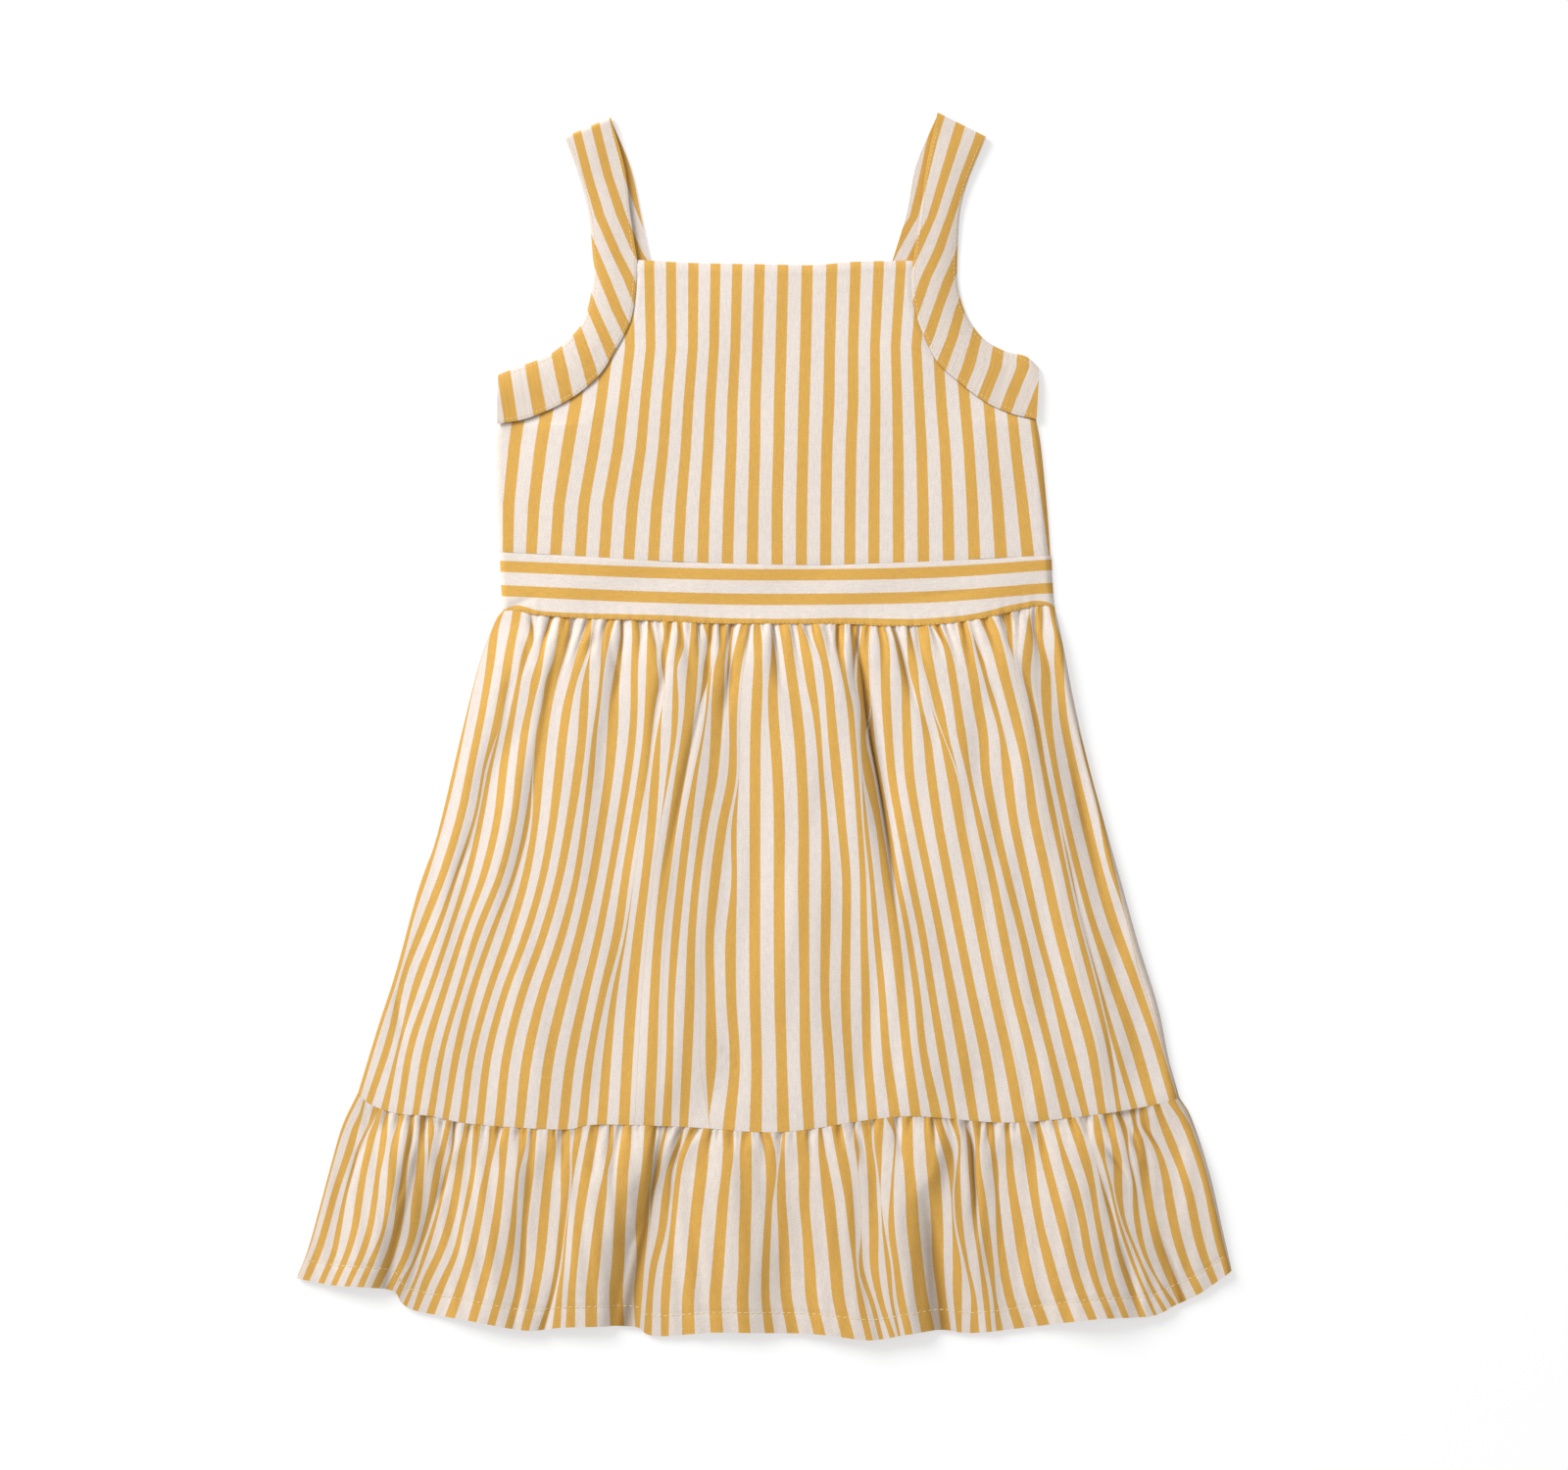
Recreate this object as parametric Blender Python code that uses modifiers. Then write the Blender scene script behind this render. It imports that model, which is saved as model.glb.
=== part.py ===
"""A child's sleeveless sundress laid flat on its back, straps up the page, as cut and sewn pieces of cloth.

X runs across the dress, Y up from the hem to the straps, and Z up off the table.
The middle of the dress is at the origin. Tables are in millimetres.
"""

import math

import bmesh
import bpy
import numpy as np

MM = 0.001

# Cloth and seams
WALL = 1.1
SEAM_GAP = 0.3
FRONT_EDGE_TOP = 2 * WALL + SEAM_GAP
RIM_ROLL = 14.0

# Gathers: how far a tuck's slopes reach into the puffs beside it, how steep they get, how deep the tuck
# already is at the seam, how far below the seam it is deepest, and the least that stays over the back
TUCK_SHARE = 0.3
STEEPEST_TUCK = 1.6
TUCK_AT_SEAM = 0.2
TUCK_OPENS_BY = 8.0
FRONT_OVER_BACK = 1.4
BACK_TUCK = 0.9

# Height of the front cloth over the table: place up the dress, height of the highest cloth there
FRONT_HEIGHT = (
    (-332.0, 7.6),
    (-300.0, 8.6),
    (-262.0, 9.6),
    (-232.0, 10.4),
    (-221.0, 8.0),
    (-215.0, 5.8),
    (-200.0, 6.2),
    (-120.0, 7.6),
    (-20.0, 9.0),
    (38.0, 11.0),
    (50.0, 9.2),
    (58.0, 6.8),
    (66.0, 5.6),
    (94.0, 4.8),
    (160.0, 4.4),
    (252.0, 3.8),
)

# Seams that run across the front: place across, place up
NECKLINE = ((-68.5, 252.3), (-38.0, 250.6), (0.0, 249.9), (27.0, 249.4), (48.8, 251.2), (80.1, 251.9))
BODICE_FOOT = (
    (-143.8, 94.2),
    (-94.3, 91.5),
    (-50.8, 88.9),
    (20.7, 87.0),
    (57.3, 87.8),
    (98.6, 89.4),
    (154.0, 92.3),
)
WAIST_SEAM = (
    (-141.6, 62.3),
    (-124.5, 60.3),
    (-72.6, 57.9),
    (-29.1, 55.8),
    (45.6, 55.2),
    (89.6, 54.2),
    (111.4, 56.6),
    (128.8, 60.4),
    (157.3, 62.5),
)
TIER_SEAM = (
    (-220.4, -199.4),
    (-211.4, -205.8),
    (-197.1, -210.0),
    (-181.7, -210.8),
    (-157.9, -215.3),
    (-109.7, -218.3),
    (-90.6, -215.6),
    (-42.9, -216.9),
    (-3.1, -219.7),
    (21.3, -218.5),
    (55.7, -213.2),
    (82.2, -211.1),
    (130.4, -214.5),
    (172.8, -211.1),
    (208.9, -205.5),
    (224.0, -201.6),
)
HEM = (
    (-253.1, -299.1),
    (-233.7, -302.3),
    (-214.6, -303.3),
    (-200.4, -306.0),
    (-196.0, -312.6),
    (-186.5, -317.1),
    (-156.8, -321.9),
    (-128.2, -326.9),
    (-105.9, -325.0),
    (-71.5, -325.1),
    (-63.5, -329.3),
    (-52.9, -330.3),
    (-27.0, -328.0),
    (5.9, -328.5),
    (32.4, -329.3),
    (57.8, -331.9),
    (77.4, -328.8),
    (96.0, -326.9),
    (112.4, -328.6),
    (145.8, -325.0),
    (179.2, -320.3),
    (208.9, -319.2),
    (221.6, -313.9),
    (235.9, -307.0),
    (253.1, -294.8),
)

# Side seams from the foot up: place across, place up
BODICE_SIDE_LEFT = ((-143.9, 94.2), (-145.5, 127.0), (-145.3, 150.0), (-144.6, 163.3))
BODICE_SIDE_RIGHT = ((154.0, 92.3), (152.3, 116.0), (149.6, 150.0), (147.3, 165.7))
WAISTBAND_SIDE_LEFT = ((-141.6, 62.3), (-142.7, 76.0), (-143.4, 93.9))
WAISTBAND_SIDE_RIGHT = ((157.3, 62.5), (155.4, 76.0), (154.6, 92.0))
SKIRT_SIDE_LEFT = (
    (-220.4, -199.4),
    (-209.3, -163.0),
    (-199.5, -132.7),
    (-187.0, -86.8),
    (-177.5, -60.0),
    (-163.2, -0.7),
    (-154.2, 34.3),
    (-146.0, 56.0),
    (-141.9, 62.0),
)
SKIRT_SIDE_RIGHT = (
    (224.0, -201.6),
    (218.4, -177.2),
    (213.1, -151.7),
    (202.5, -117.8),
    (193.2, -84.4),
    (184.5, -53.7),
    (175.0, -18.7),
    (167.5, 14.2),
    (162.2, 42.0),
    (159.4, 55.0),
    (157.6, 62.2),
)
RUFFLE_SIDE_LEFT = ((-253.1, -299.1), (-246.6, -281.6), (-236.0, -242.4), (-228.9, -217.5), (-220.6, -199.7))
RUFFLE_SIDE_RIGHT = ((253.1, -294.8), (248.6, -274.7), (240.9, -241.3), (230.6, -212.7), (224.2, -201.9))

# Armhole bands and straps, a row for each place along them from the side seam to the shoulder:
# outer edge across and up, inner edge across and up. The bodice's seam runs up to the row at the neckline.
STRAP_LEFT_FRONT = (
    (-144.4, 190.0, -144.6, 163.6),
    (-137.7, 192.8, -131.9, 165.4),
    (-129.3, 195.8, -119.0, 169.9),
    (-115.0, 202.0, -103.5, 177.9),
    (-102.4, 213.2, -89.5, 189.7),
    (-97.0, 222.0, -80.4, 203.8),
    (-93.9, 234.0, -72.4, 219.3),
    (-92.2, 246.0, -69.6, 236.0),
    (-92.8, 253.0, -68.8, 252.3),
    (-95.3, 277.6, -72.6, 277.0),
    (-101.2, 299.8, -75.6, 302.0),
    (-108.1, 318.9, -83.2, 329.5),
)
STRAP_LEFT_BACK = (
    (-144.4, 189.2, -144.6, 162.0),
    (-137.4, 191.8, -130.0, 163.0),
    (-128.6, 194.8, -115.0, 168.0),
    (-114.0, 200.8, -96.5, 178.0),
    (-101.4, 212.0, -80.0, 192.0),
    (-95.9, 221.0, -69.5, 208.0),
    (-92.4, 233.0, -63.0, 224.0),
    (-90.0, 245.0, -60.6, 238.0),
    (-88.6, 254.0, -61.2, 249.0),
    (-91.2, 277.6, -66.8, 276.0),
    (-99.6, 299.8, -72.4, 302.0),
    (-108.1, 318.9, -83.2, 329.5),
)
STRAP_RIGHT_FRONT = (
    (148.9, 193.6, 147.3, 165.9),
    (142.0, 200.0, 133.9, 168.9),
    (131.0, 202.8, 119.5, 175.4),
    (120.6, 208.2, 105.0, 186.4),
    (113.0, 216.4, 93.3, 197.4),
    (107.6, 227.0, 84.9, 214.5),
    (105.0, 238.0, 80.6, 228.6),
    (104.4, 246.0, 79.6, 242.0),
    (104.6, 256.0, 80.5, 252.1),
    (106.1, 278.1, 84.4, 277.4),
    (110.8, 296.1, 87.4, 302.0),
    (120.4, 318.9, 93.9, 332.2),
)
STRAP_RIGHT_BACK = (
    (148.9, 192.8, 147.3, 164.2),
    (141.6, 199.0, 131.0, 167.0),
    (130.2, 201.8, 112.5, 175.4),
    (119.6, 207.2, 95.6, 187.4),
    (112.0, 215.4, 81.4, 201.4),
    (106.4, 226.0, 73.0, 217.5),
    (103.2, 237.0, 69.4, 230.6),
    (101.6, 245.0, 67.6, 241.0),
    (101.2, 255.0, 68.6, 249.6),
    (102.2, 278.1, 77.0, 277.4),
    (108.6, 296.1, 82.2, 304.0),
    (120.4, 318.9, 93.9, 332.2),
)
NECKLINE_ROW = 8
BAND_COVERS = 30.0
STRAP_CROWN = 0.45
SHOULDER_RISE = 1.6

# Lines that the skirt's gathers follow, each at seven levels from the waist down.
# Lengths below the waist seam, the share across the skirt at each, and how deep that fold is there.
SKIRT_LEVELS = (0.0, 34.0, 71.0, 113.0, 166.0, 219.0, 270.0)
SKIRT_FOLDS = {
    "left side": (
        (0.083, 0.050, 0.042, 0.048, 0.053, 0.056, 0.052),
        (2.4, 2.2, 1.6, 1.2, 1.2, 0.6, 0.0),
    ),
    "left quarter": (
        (0.219, 0.240, 0.224, 0.219, 0.218, 0.221, 0.224),
        (2.2, 2.0, 1.6, 1.4, 1.0, 0.6, 0.0),
    ),
    "left of the middle": (
        (0.358, 0.375, 0.370, 0.339, 0.302, 0.293, 0.296),
        (2.4, 1.8, 1.4, 2.0, 2.8, 1.6, 0.0),
    ),
    "middle": (
        (0.415, 0.418, 0.415, 0.438, 0.448, 0.461, 0.464),
        (2.8, 2.0, 1.8, 1.4, 1.0, 0.6, 0.0),
    ),
    "deepest": (
        (0.609, 0.628, 0.643, 0.650, 0.674, 0.684, 0.694),
        (2.8, 3.6, 3.8, 3.0, 1.6, 0.8, 0.0),
    ),
    "right quarter": (
        (0.747, 0.772, 0.795, 0.806, 0.818, 0.826, 0.834),
        (2.4, 2.2, 1.6, 1.0, 0.8, 0.5, 0.0),
    ),
    "right of it": (
        (0.837, 0.857, 0.874, 0.889, 0.893, 0.895, 0.894),
        (2.6, 2.4, 1.6, 1.0, 0.8, 0.5, 0.0),
    ),
    "right side": (
        (0.936, 0.938, 0.937, 0.934, 0.930, 0.932, 0.931),
        (2.0, 1.6, 1.4, 1.2, 1.2, 1.0, 0.6),
    ),
}
SKIRT_FOLD_WIDTHS = (4.5, 7.0)

# Gathers at the waist: place across at the seam, how deep the tuck is
WAIST_GATHERS = (
    (-126.1, 3.6),
    (-115.7, 4.8),
    (-103.8, 4.5),
    (-95.9, 3.9),
    (-85.3, 3.6),
    (-76.8, 3.9),
    (-67.0, 3.4),
    (-60.9, 2.8),
    (-50.3, 3.9),
    (-45.5, 2.5),
    (-35.5, 4.5),
    (-29.1, 3.1),
    (-23.8, 2.8),
    (-18.5, 4.8),
    (-7.4, 3.4),
    (-3.1, 2.5),
    (4.8, 4.8),
    (14.9, 3.4),
    (21.8, 3.1),
    (26.0, 2.5),
    (33.4, 3.6),
    (39.8, 4.8),
    (43.0, 2.5),
    (47.2, 3.1),
    (51.2, 4.8),
    (56.2, 2.8),
    (62.1, 3.4),
    (70.0, 4.8),
    (78.0, 3.4),
    (82.7, 3.1),
    (89.6, 3.9),
    (97.6, 3.9),
    (107.1, 4.8),
    (118.2, 4.2),
    (127.8, 3.4),
    (132.0, 4.2),
    (137.9, 3.4),
    (146.3, 4.5),
    (150.6, 3.1),
)
WAIST_GATHER_REACH = 62.0

# Lines that the ruffle's gathers follow, each at four levels from the tier seam down.
RUFFLE_LEVELS = (0.0, 0.26, 0.54, 1.0)
RUFFLE_FOLDS = {
    "left step": (
        (0.081, 0.109, 0.107, 0.108),
        (2.6, 3.4, 3.6, 2.6),
    ),
    "left pinch": (
        (0.248, 0.268, 0.276, 0.275),
        (2.2, 1.4, 1.2, 1.0),
    ),
    "middle step": (
        (0.361, 0.359, 0.358, 0.365),
        (3.0, 3.2, 2.6, 2.4),
    ),
    "beside the step": (
        (0.396, 0.387, 0.384, 0.387),
        (2.4, 1.8, 0.8, 0.2),
    ),
    "middle": (
        (0.516, 0.509, 0.497, 0.499),
        (2.4, 2.0, 1.6, 0.8),
    ),
    "right pinch": (
        (0.602, 0.600, 0.601, 0.621),
        (2.0, 1.4, 1.2, 1.6),
    ),
    "right pair": (
        (0.698, 0.705, 0.701, 0.720),
        (3.0, 2.4, 1.6, 0.8),
    ),
    "right pair's second": (
        (0.739, 0.730, 0.728, 0.744),
        (2.6, 1.8, 1.2, 1.0),
    ),
    "right diagonal": (
        (0.893, 0.881, 0.892, 0.937),
        (2.6, 2.4, 1.8, 1.2),
    ),
    "right side": (
        (0.945, 0.956, 0.955, 0.971),
        (2.6, 1.8, 1.0, 0.4),
    ),
}
RUFFLE_FOLD_WIDTHS = (4.0, 11.0)

# Gathers at the tier seam: place across at the seam, how deep the tuck is
RUFFLE_GATHERS = (
    (-210.9, 2.5),
    (-204.5, 2.5),
    (-197.6, 2.8),
    (-191.0, 2.8),
    (-183.3, 4.5),
    (-174.3, 2.8),
    (-167.4, 4.5),
    (-158.4, 2.8),
    (-151.5, 3.1),
    (-143.0, 3.4),
    (-132.4, 3.1),
    (-125.6, 2.5),
    (-109.4, 3.6),
    (-102.5, 2.2),
    (-92.0, 2.2),
    (-83.2, 3.4),
    (-76.3, 2.5),
    (-71.0, 2.2),
    (-58.8, 4.8),
    (-51.5, 2.5),
    (-44.5, 4.5),
    (-37.0, 2.8),
    (-28.0, 3.1),
    (-16.9, 3.1),
    (-10.5, 2.2),
    (-2.1, 3.1),
    (9.1, 3.9),
    (24.4, 3.1),
    (30.8, 2.5),
    (39.8, 3.1),
    (48.3, 3.4),
    (53.1, 2.2),
    (58.4, 2.5),
    (71.3, 3.4),
    (82.0, 2.2),
    (90.7, 4.8),
    (98.2, 2.8),
    (109.2, 4.5),
    (116.7, 3.1),
    (124.1, 2.8),
    (131.8, 3.1),
    (145.8, 3.1),
    (156.1, 2.5),
    (165.1, 2.8),
    (173.9, 4.5),
    (184.5, 3.1),
    (192.0, 3.4),
    (200.4, 4.5),
    (207.0, 2.5),
    (213.0, 2.8),
)
RUFFLE_GATHER_REACH = 40.0

# The hidden back, gathered evenly with every third tuck deeper
BACK_WAIST_GATHERS = 22
BACK_TIER_GATHERS = 26
BACK_WAIST_REACH = 70.0
BACK_TIER_REACH = 45.0
BACK_NECK_DROP = 2.2
BACK_HEM_LIFT = 1.2

# Where the back shows past the front's right side: place up, how far
BACK_SHOWS_RIGHT = (
    (-240.0, 0.0),
    (-203.0, 1.2),
    (-188.0, 0.0),
    (60.0, 0.0),
    (78.0, 1.0),
    (130.0, 1.0),
    (160.0, 0.0),
)

# Rows down each piece, as lengths or shares from its upper seam
SKIRT_ROWS = (0.0, 5.0, 12.0, 22.0, 40.0, 70.0, 113.0, 166.0, 219.0, 270.0)
RUFFLE_ROWS = (0.0, 0.06, 0.14, 0.30, 0.54, 0.78, 1.0)
BACK_SKIRT_ROWS = (0.0, 8.0, 30.0, 80.0, 170.0, 270.0)
BACK_RUFFLE_ROWS = (0.0, 0.10, 0.40, 1.0)
WAISTBAND_ROWS = (0.0, 0.5, 1.0)
BODICE_SIDE_ROWS = 4
BAND_ROWS = 16
STRAP_ROWS = 12
FOLD_ROWS = 5
BAND_COLUMNS = 4
BODICE_COLUMNS = 16
WAISTBAND_COLUMNS = 26

STRIPED_CLOTH = {"colour": (0.87, 0.72, 0.50, 1.0), "roughness": 0.85, "metallic": 0.0}


def smooth_line(points, count, start=0.0, end=1.0):
    """This many points, evenly spaced on a smooth curve through the given ones, or on a share of it."""
    knots = np.array(points, float)
    padded = np.vstack([2 * knots[0] - knots[1], knots, 2 * knots[-1] - knots[-2]])
    dense = []
    for before, here, there, after in zip(padded, padded[1:], padded[2:], padded[3:]):
        for t in np.linspace(0.0, 1.0, 12, endpoint=False):
            square = 2 * before - 5 * here + 4 * there - after
            cube = 3 * here - before - 3 * there + after
            dense.append(0.5 * (2 * here + (there - before) * t + square * t**2 + cube * t**3))
    dense = np.array(dense + [knots[-1]])
    steps = np.linalg.norm(np.diff(dense[:, :2], axis=0), axis=1)
    run = np.concatenate([[0.0], np.cumsum(steps)])
    places = np.linspace(start, end, count) * run[-1]
    return np.column_stack([np.interp(places, run, column) for column in dense.T])


def at_shares(points, shares):
    """Points at these shares of the length of a smooth curve."""
    fine = smooth_line(points, 201)
    along = np.linspace(0.0, 1.0, 201)
    return np.column_stack([np.interp(shares, along, column) for column in fine.T])


def height_along(seam, across):
    """How far up a seam lies at these places across."""
    fine = smooth_line(seam, 301)
    return np.interp(across, fine[:, 0], fine[:, 1])


def lift(seam, by):
    """A seam moved up the dress, to leave the gap between the pieces that it joins."""
    return [(across, up + by) for across, up in seam]


def front_height(up):
    """Height of the highest front cloth at these places up the dress."""
    places, heights = np.array(FRONT_HEIGHT).T
    return np.interp(up, places, heights)


def rolled_rim(inward):
    """0 at a side edge, rising to 1 where the cloth has rolled over to the front."""
    return np.sin(math.pi / 2 * np.clip(inward / RIM_ROLL, 0.0, 1.0))


def lay_panel(left, right, foot, head, across):
    """Places of a panel's grid, row by row from its head down.

    left and right hold one point for each row, across one share of the width for each row and column,
    and foot and head are the seams that its last and first rows follow.
    """
    places = left[:, None] * (1 - across[..., None]) + right[:, None] * across[..., None]
    down = (left[0, 1] - left[:, 1]) / (left[0, 1] - left[-1, 1])
    head_bend = height_along(head, places[0, :, 0]) - places[0, :, 1]
    foot_bend = height_along(foot, places[-1, :, 0]) - places[-1, :, 1]
    places[..., 1] += (1 - down)[:, None] * head_bend + down[:, None] * foot_bend
    return places


def columns_between(gathers, left, right):
    """Shares across for the columns of a gathered edge, and the tuck's depth at each, 0 on a puff."""
    stops = [0.0] + [(place - left) / (right - left) for place, depth in gathers] + [1.0]
    depths = [0.0] + [depth for place, depth in gathers]
    columns, tucks = [], []
    for start, end, depth in zip(stops, stops[1:], depths):
        columns += [start, start + TUCK_SHARE * (end - start), end - TUCK_SHARE * (end - start)]
        tucks += [depth, 0.0, 0.0]
    return np.array(columns + [1.0]), np.array(tucks + [0.0])


def flow(columns, folds, levels, rows):
    """Shares across at each row, for columns that start at the seam and follow the folds down."""
    starts = np.array([0.0] + [shares[0] for shares, depths in folds.values()] + [1.0])
    across = []
    for row in rows:
        here = [np.interp(row, levels, shares) for shares, depths in folds.values()]
        across.append(np.interp(columns, starts, [0.0] + here + [1.0]))
    return np.array(across)


def fold_troughs(across, widths, folds, levels, rows, fold_widths):
    """How deep the long folds make the cloth at each row and column. They widen from seam to foot."""
    depth = np.zeros_like(across)
    wide = np.interp(rows, (levels[0], levels[-1]), fold_widths)
    for shares, depths in folds.values():
        line = np.interp(rows, levels, shares)[:, None]
        deep = np.interp(rows, levels, depths)[:, None]
        apart = (across - line) * (widths / wide)[:, None]
        depth += deep * np.exp(-(apart**2))
    return depth


def gathered_front(places, across, tucks, drops, reach, troughs):
    """Height of a gathered front panel over the table at each row and column."""
    widths = places[:, -1, 0] - places[:, 0, 0]
    inward = np.minimum(across, 1 - across) * widths[:, None]
    rim = rolled_rim(inward)
    high = FRONT_EDGE_TOP + (front_height(places[..., 1]) - FRONT_EDGE_TOP) * rim
    opens = np.clip(TUCK_AT_SEAM + (1 - TUCK_AT_SEAM) * drops / TUCK_OPENS_BY, 0.0, 1.0)
    fade = (opens * np.exp(-((drops / reach) ** 2)))[:, None]
    steps = np.pad(np.diff(places[..., 0], axis=1), ((0, 0), (1, 1)), mode="edge")
    room = STEEPEST_TUCK * np.minimum(steps[:, :-1], steps[:, 1:])
    low = FRONT_EDGE_TOP + FRONT_OVER_BACK * rim
    return np.maximum(high - (np.minimum(tucks * fade, room) + troughs) * rim, low)


def add_sheet(name, points, thickness=WALL, turned=False):
    """A sheet of cloth through a grid of points in millimetres, given its wall away from its outer side."""
    rows, columns = points.shape[:2]
    mesh = bpy.data.meshes.new(name)
    sheet = bmesh.new()
    bmesh.ops.create_grid(sheet, x_segments=columns - 1, y_segments=rows - 1, size=0.5)
    for corner in sheet.verts:
        column = round((corner.co.x + 0.5) * (columns - 1))
        row = round((0.5 - corner.co.y) * (rows - 1))
        corner.co = points[row, column] * MM
    if turned:
        bmesh.ops.reverse_faces(sheet, faces=sheet.faces)
    sheet.to_mesh(mesh)
    sheet.free()
    mesh.shade_smooth()
    piece = bpy.data.objects.new(name, mesh)
    collection.objects.link(piece)
    piece.parent = middle
    wall = piece.modifiers.new("Cloth wall", "SOLIDIFY")
    wall.thickness = thickness * MM
    wall.offset = -1.0
    wall.use_even_offset = True
    wall.thickness_clamp = 1.0
    mesh.materials.append(cloth_material(name))
    return piece


def cloth_material(name):
    material = bpy.data.materials.new(name + " cloth")
    material.use_nodes = True
    shader = material.node_tree.nodes["Principled BSDF"]
    shader.inputs["Base Color"].default_value = STRIPED_CLOTH["colour"]
    shader.inputs["Roughness"].default_value = STRIPED_CLOTH["roughness"]
    shader.inputs["Metallic"].default_value = STRIPED_CLOTH["metallic"]
    material.diffuse_color = STRIPED_CLOTH["colour"]
    return material


def with_height(places, height):
    return np.concatenate([places, height[..., None]], axis=2)


def skirt_front():
    rows = np.array(SKIRT_ROWS)
    shares = 1.0 - rows / rows[-1]
    left = at_shares(SKIRT_SIDE_LEFT, shares)
    right = at_shares(SKIRT_SIDE_RIGHT, shares)
    columns, tucks = columns_between(WAIST_GATHERS, left[0, 0], right[0, 0])
    across = flow(columns, SKIRT_FOLDS, SKIRT_LEVELS, rows)
    places = lay_panel(left, right, lift(TIER_SEAM, SEAM_GAP), lift(WAIST_SEAM, -SEAM_GAP), across)
    widths = right[:, 0] - left[:, 0]
    troughs = fold_troughs(across, widths, SKIRT_FOLDS, SKIRT_LEVELS, rows, SKIRT_FOLD_WIDTHS)
    height = gathered_front(places, across, tucks, rows, WAIST_GATHER_REACH, troughs)
    add_sheet("skirt_front", with_height(places, height))


def ruffle_front():
    rows = np.array(RUFFLE_ROWS)
    left = at_shares(RUFFLE_SIDE_LEFT, 1.0 - rows)
    right = at_shares(RUFFLE_SIDE_RIGHT, 1.0 - rows)
    columns, tucks = columns_between(RUFFLE_GATHERS, left[0, 0], right[0, 0])
    across = flow(columns, RUFFLE_FOLDS, RUFFLE_LEVELS, rows)
    places = lay_panel(left, right, HEM, lift(TIER_SEAM, -SEAM_GAP), across)
    widths = right[:, 0] - left[:, 0]
    troughs = fold_troughs(across, widths, RUFFLE_FOLDS, RUFFLE_LEVELS, rows, RUFFLE_FOLD_WIDTHS)
    drops = rows * (left[0, 1] - left[-1, 1])
    height = gathered_front(places, across, tucks, drops, RUFFLE_GATHER_REACH, troughs)
    add_sheet("ruffle_front", with_height(places, height))


def back_columns(count):
    """Columns of an evenly gathered back edge, two for each tuck, and how deep the tucks are."""
    columns = np.linspace(0.0, 1.0, 2 * count + 1)
    order = np.arange(2 * count + 1)
    tucks = np.where(order % 2 == 1, np.where(order % 6 == 3, 1.0, 0.6), 0.0)
    return columns, tucks * BACK_TUCK


def shown_right(edge):
    """The right side edge of a back panel, where it shows past the front."""
    places, shows = np.array(BACK_SHOWS_RIGHT).T
    moved = edge.copy()
    moved[:, 0] += np.interp(edge[:, 1], places, shows)
    return moved


def gathered_back(name, left_side, right_side, foot, head, rows, count, reach):
    drops = np.array(rows) / rows[-1]
    left = at_shares(left_side, 1.0 - drops)
    right = shown_right(at_shares(right_side, 1.0 - drops))
    columns, tucks = back_columns(count)
    across = np.tile(columns, (len(rows), 1))
    places = lay_panel(left, right, foot, head, across)
    length = left[0, 1] - left[-1, 1]
    fade = np.exp(-((drops * length / reach) ** 2))[:, None]
    add_sheet(name, with_height(places, tucks * fade), turned=True)


def waistbands():
    shares = 1.0 - np.array(WAISTBAND_ROWS)
    left = at_shares(WAISTBAND_SIDE_LEFT, shares)
    right = at_shares(WAISTBAND_SIDE_RIGHT, shares)
    across = np.tile(np.linspace(0.0, 1.0, WAISTBAND_COLUMNS + 1), (len(shares), 1))
    foot = lift(WAIST_SEAM, SEAM_GAP / 2)
    head = lift(BODICE_FOOT, -SEAM_GAP / 2)
    places = lay_panel(left, right, foot, head, across)
    widths = right[:, 0] - left[:, 0]
    rim = rolled_rim(np.minimum(across, 1 - across) * widths[:, None])
    height = FRONT_EDGE_TOP + (front_height(places[..., 1]) - FRONT_EDGE_TOP) * rim
    add_sheet("waistband_front", with_height(places, height))
    behind = lay_panel(left, shown_right(right), foot, head, across)
    add_sheet("waistband_back", with_height(behind, np.zeros_like(height)), turned=True)


def band_seam(rungs):
    """Points along the band's seam to the bodice, from the neckline down to the side seam."""
    edge = [(across, up) for _, _, across, up in rungs[: NECKLINE_ROW + 1]]
    return smooth_line(edge, BAND_ROWS + 1)[::-1]


def bodice(name, left_rungs, right_rungs, neckline, back):
    """A bodice panel: its upper sides run along the armhole bands and its lower ones are the side seams."""
    left_seam = band_seam(left_rungs)
    right_seam = band_seam(right_rungs)
    left_seam = left_seam + inward_step(left_seam, SEAM_GAP)
    right_seam = right_seam + inward_step(right_seam, -SEAM_GAP)
    drops = np.linspace(0.0, 1.0, BODICE_SIDE_ROWS + 1)[1:]
    left_side = at_shares(BODICE_SIDE_LEFT, 1.0 - drops)
    right_side = at_shares(BODICE_SIDE_RIGHT, 1.0 - drops)
    left_side[:, 1] += SEAM_GAP / 2
    right_side[:, 1] += SEAM_GAP / 2
    left = np.vstack([left_seam, left_side])
    right = np.vstack([right_seam, right_side])
    if back:
        right = shown_right(right)
    across = np.tile(np.linspace(0.0, 1.0, BODICE_COLUMNS + 1), (len(left), 1))
    places = lay_panel(left, right, lift(BODICE_FOOT, SEAM_GAP / 2), neckline, across)
    if back:
        add_sheet(name, with_height(places, np.zeros(places.shape[:2])), turned=True)
        return
    covered = np.zeros(len(left))
    covered[: BAND_ROWS + 1] = np.linspace(BAND_COVERS, 0.0, BAND_ROWS + 1)
    widths = right[:, 0] - left[:, 0]
    inward = np.minimum(across, 1 - across) * widths[:, None] + covered[:, None]
    height = FRONT_EDGE_TOP + (front_height(places[..., 1]) - FRONT_EDGE_TOP) * rolled_rim(inward)
    add_sheet(name, with_height(places, height))


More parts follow.
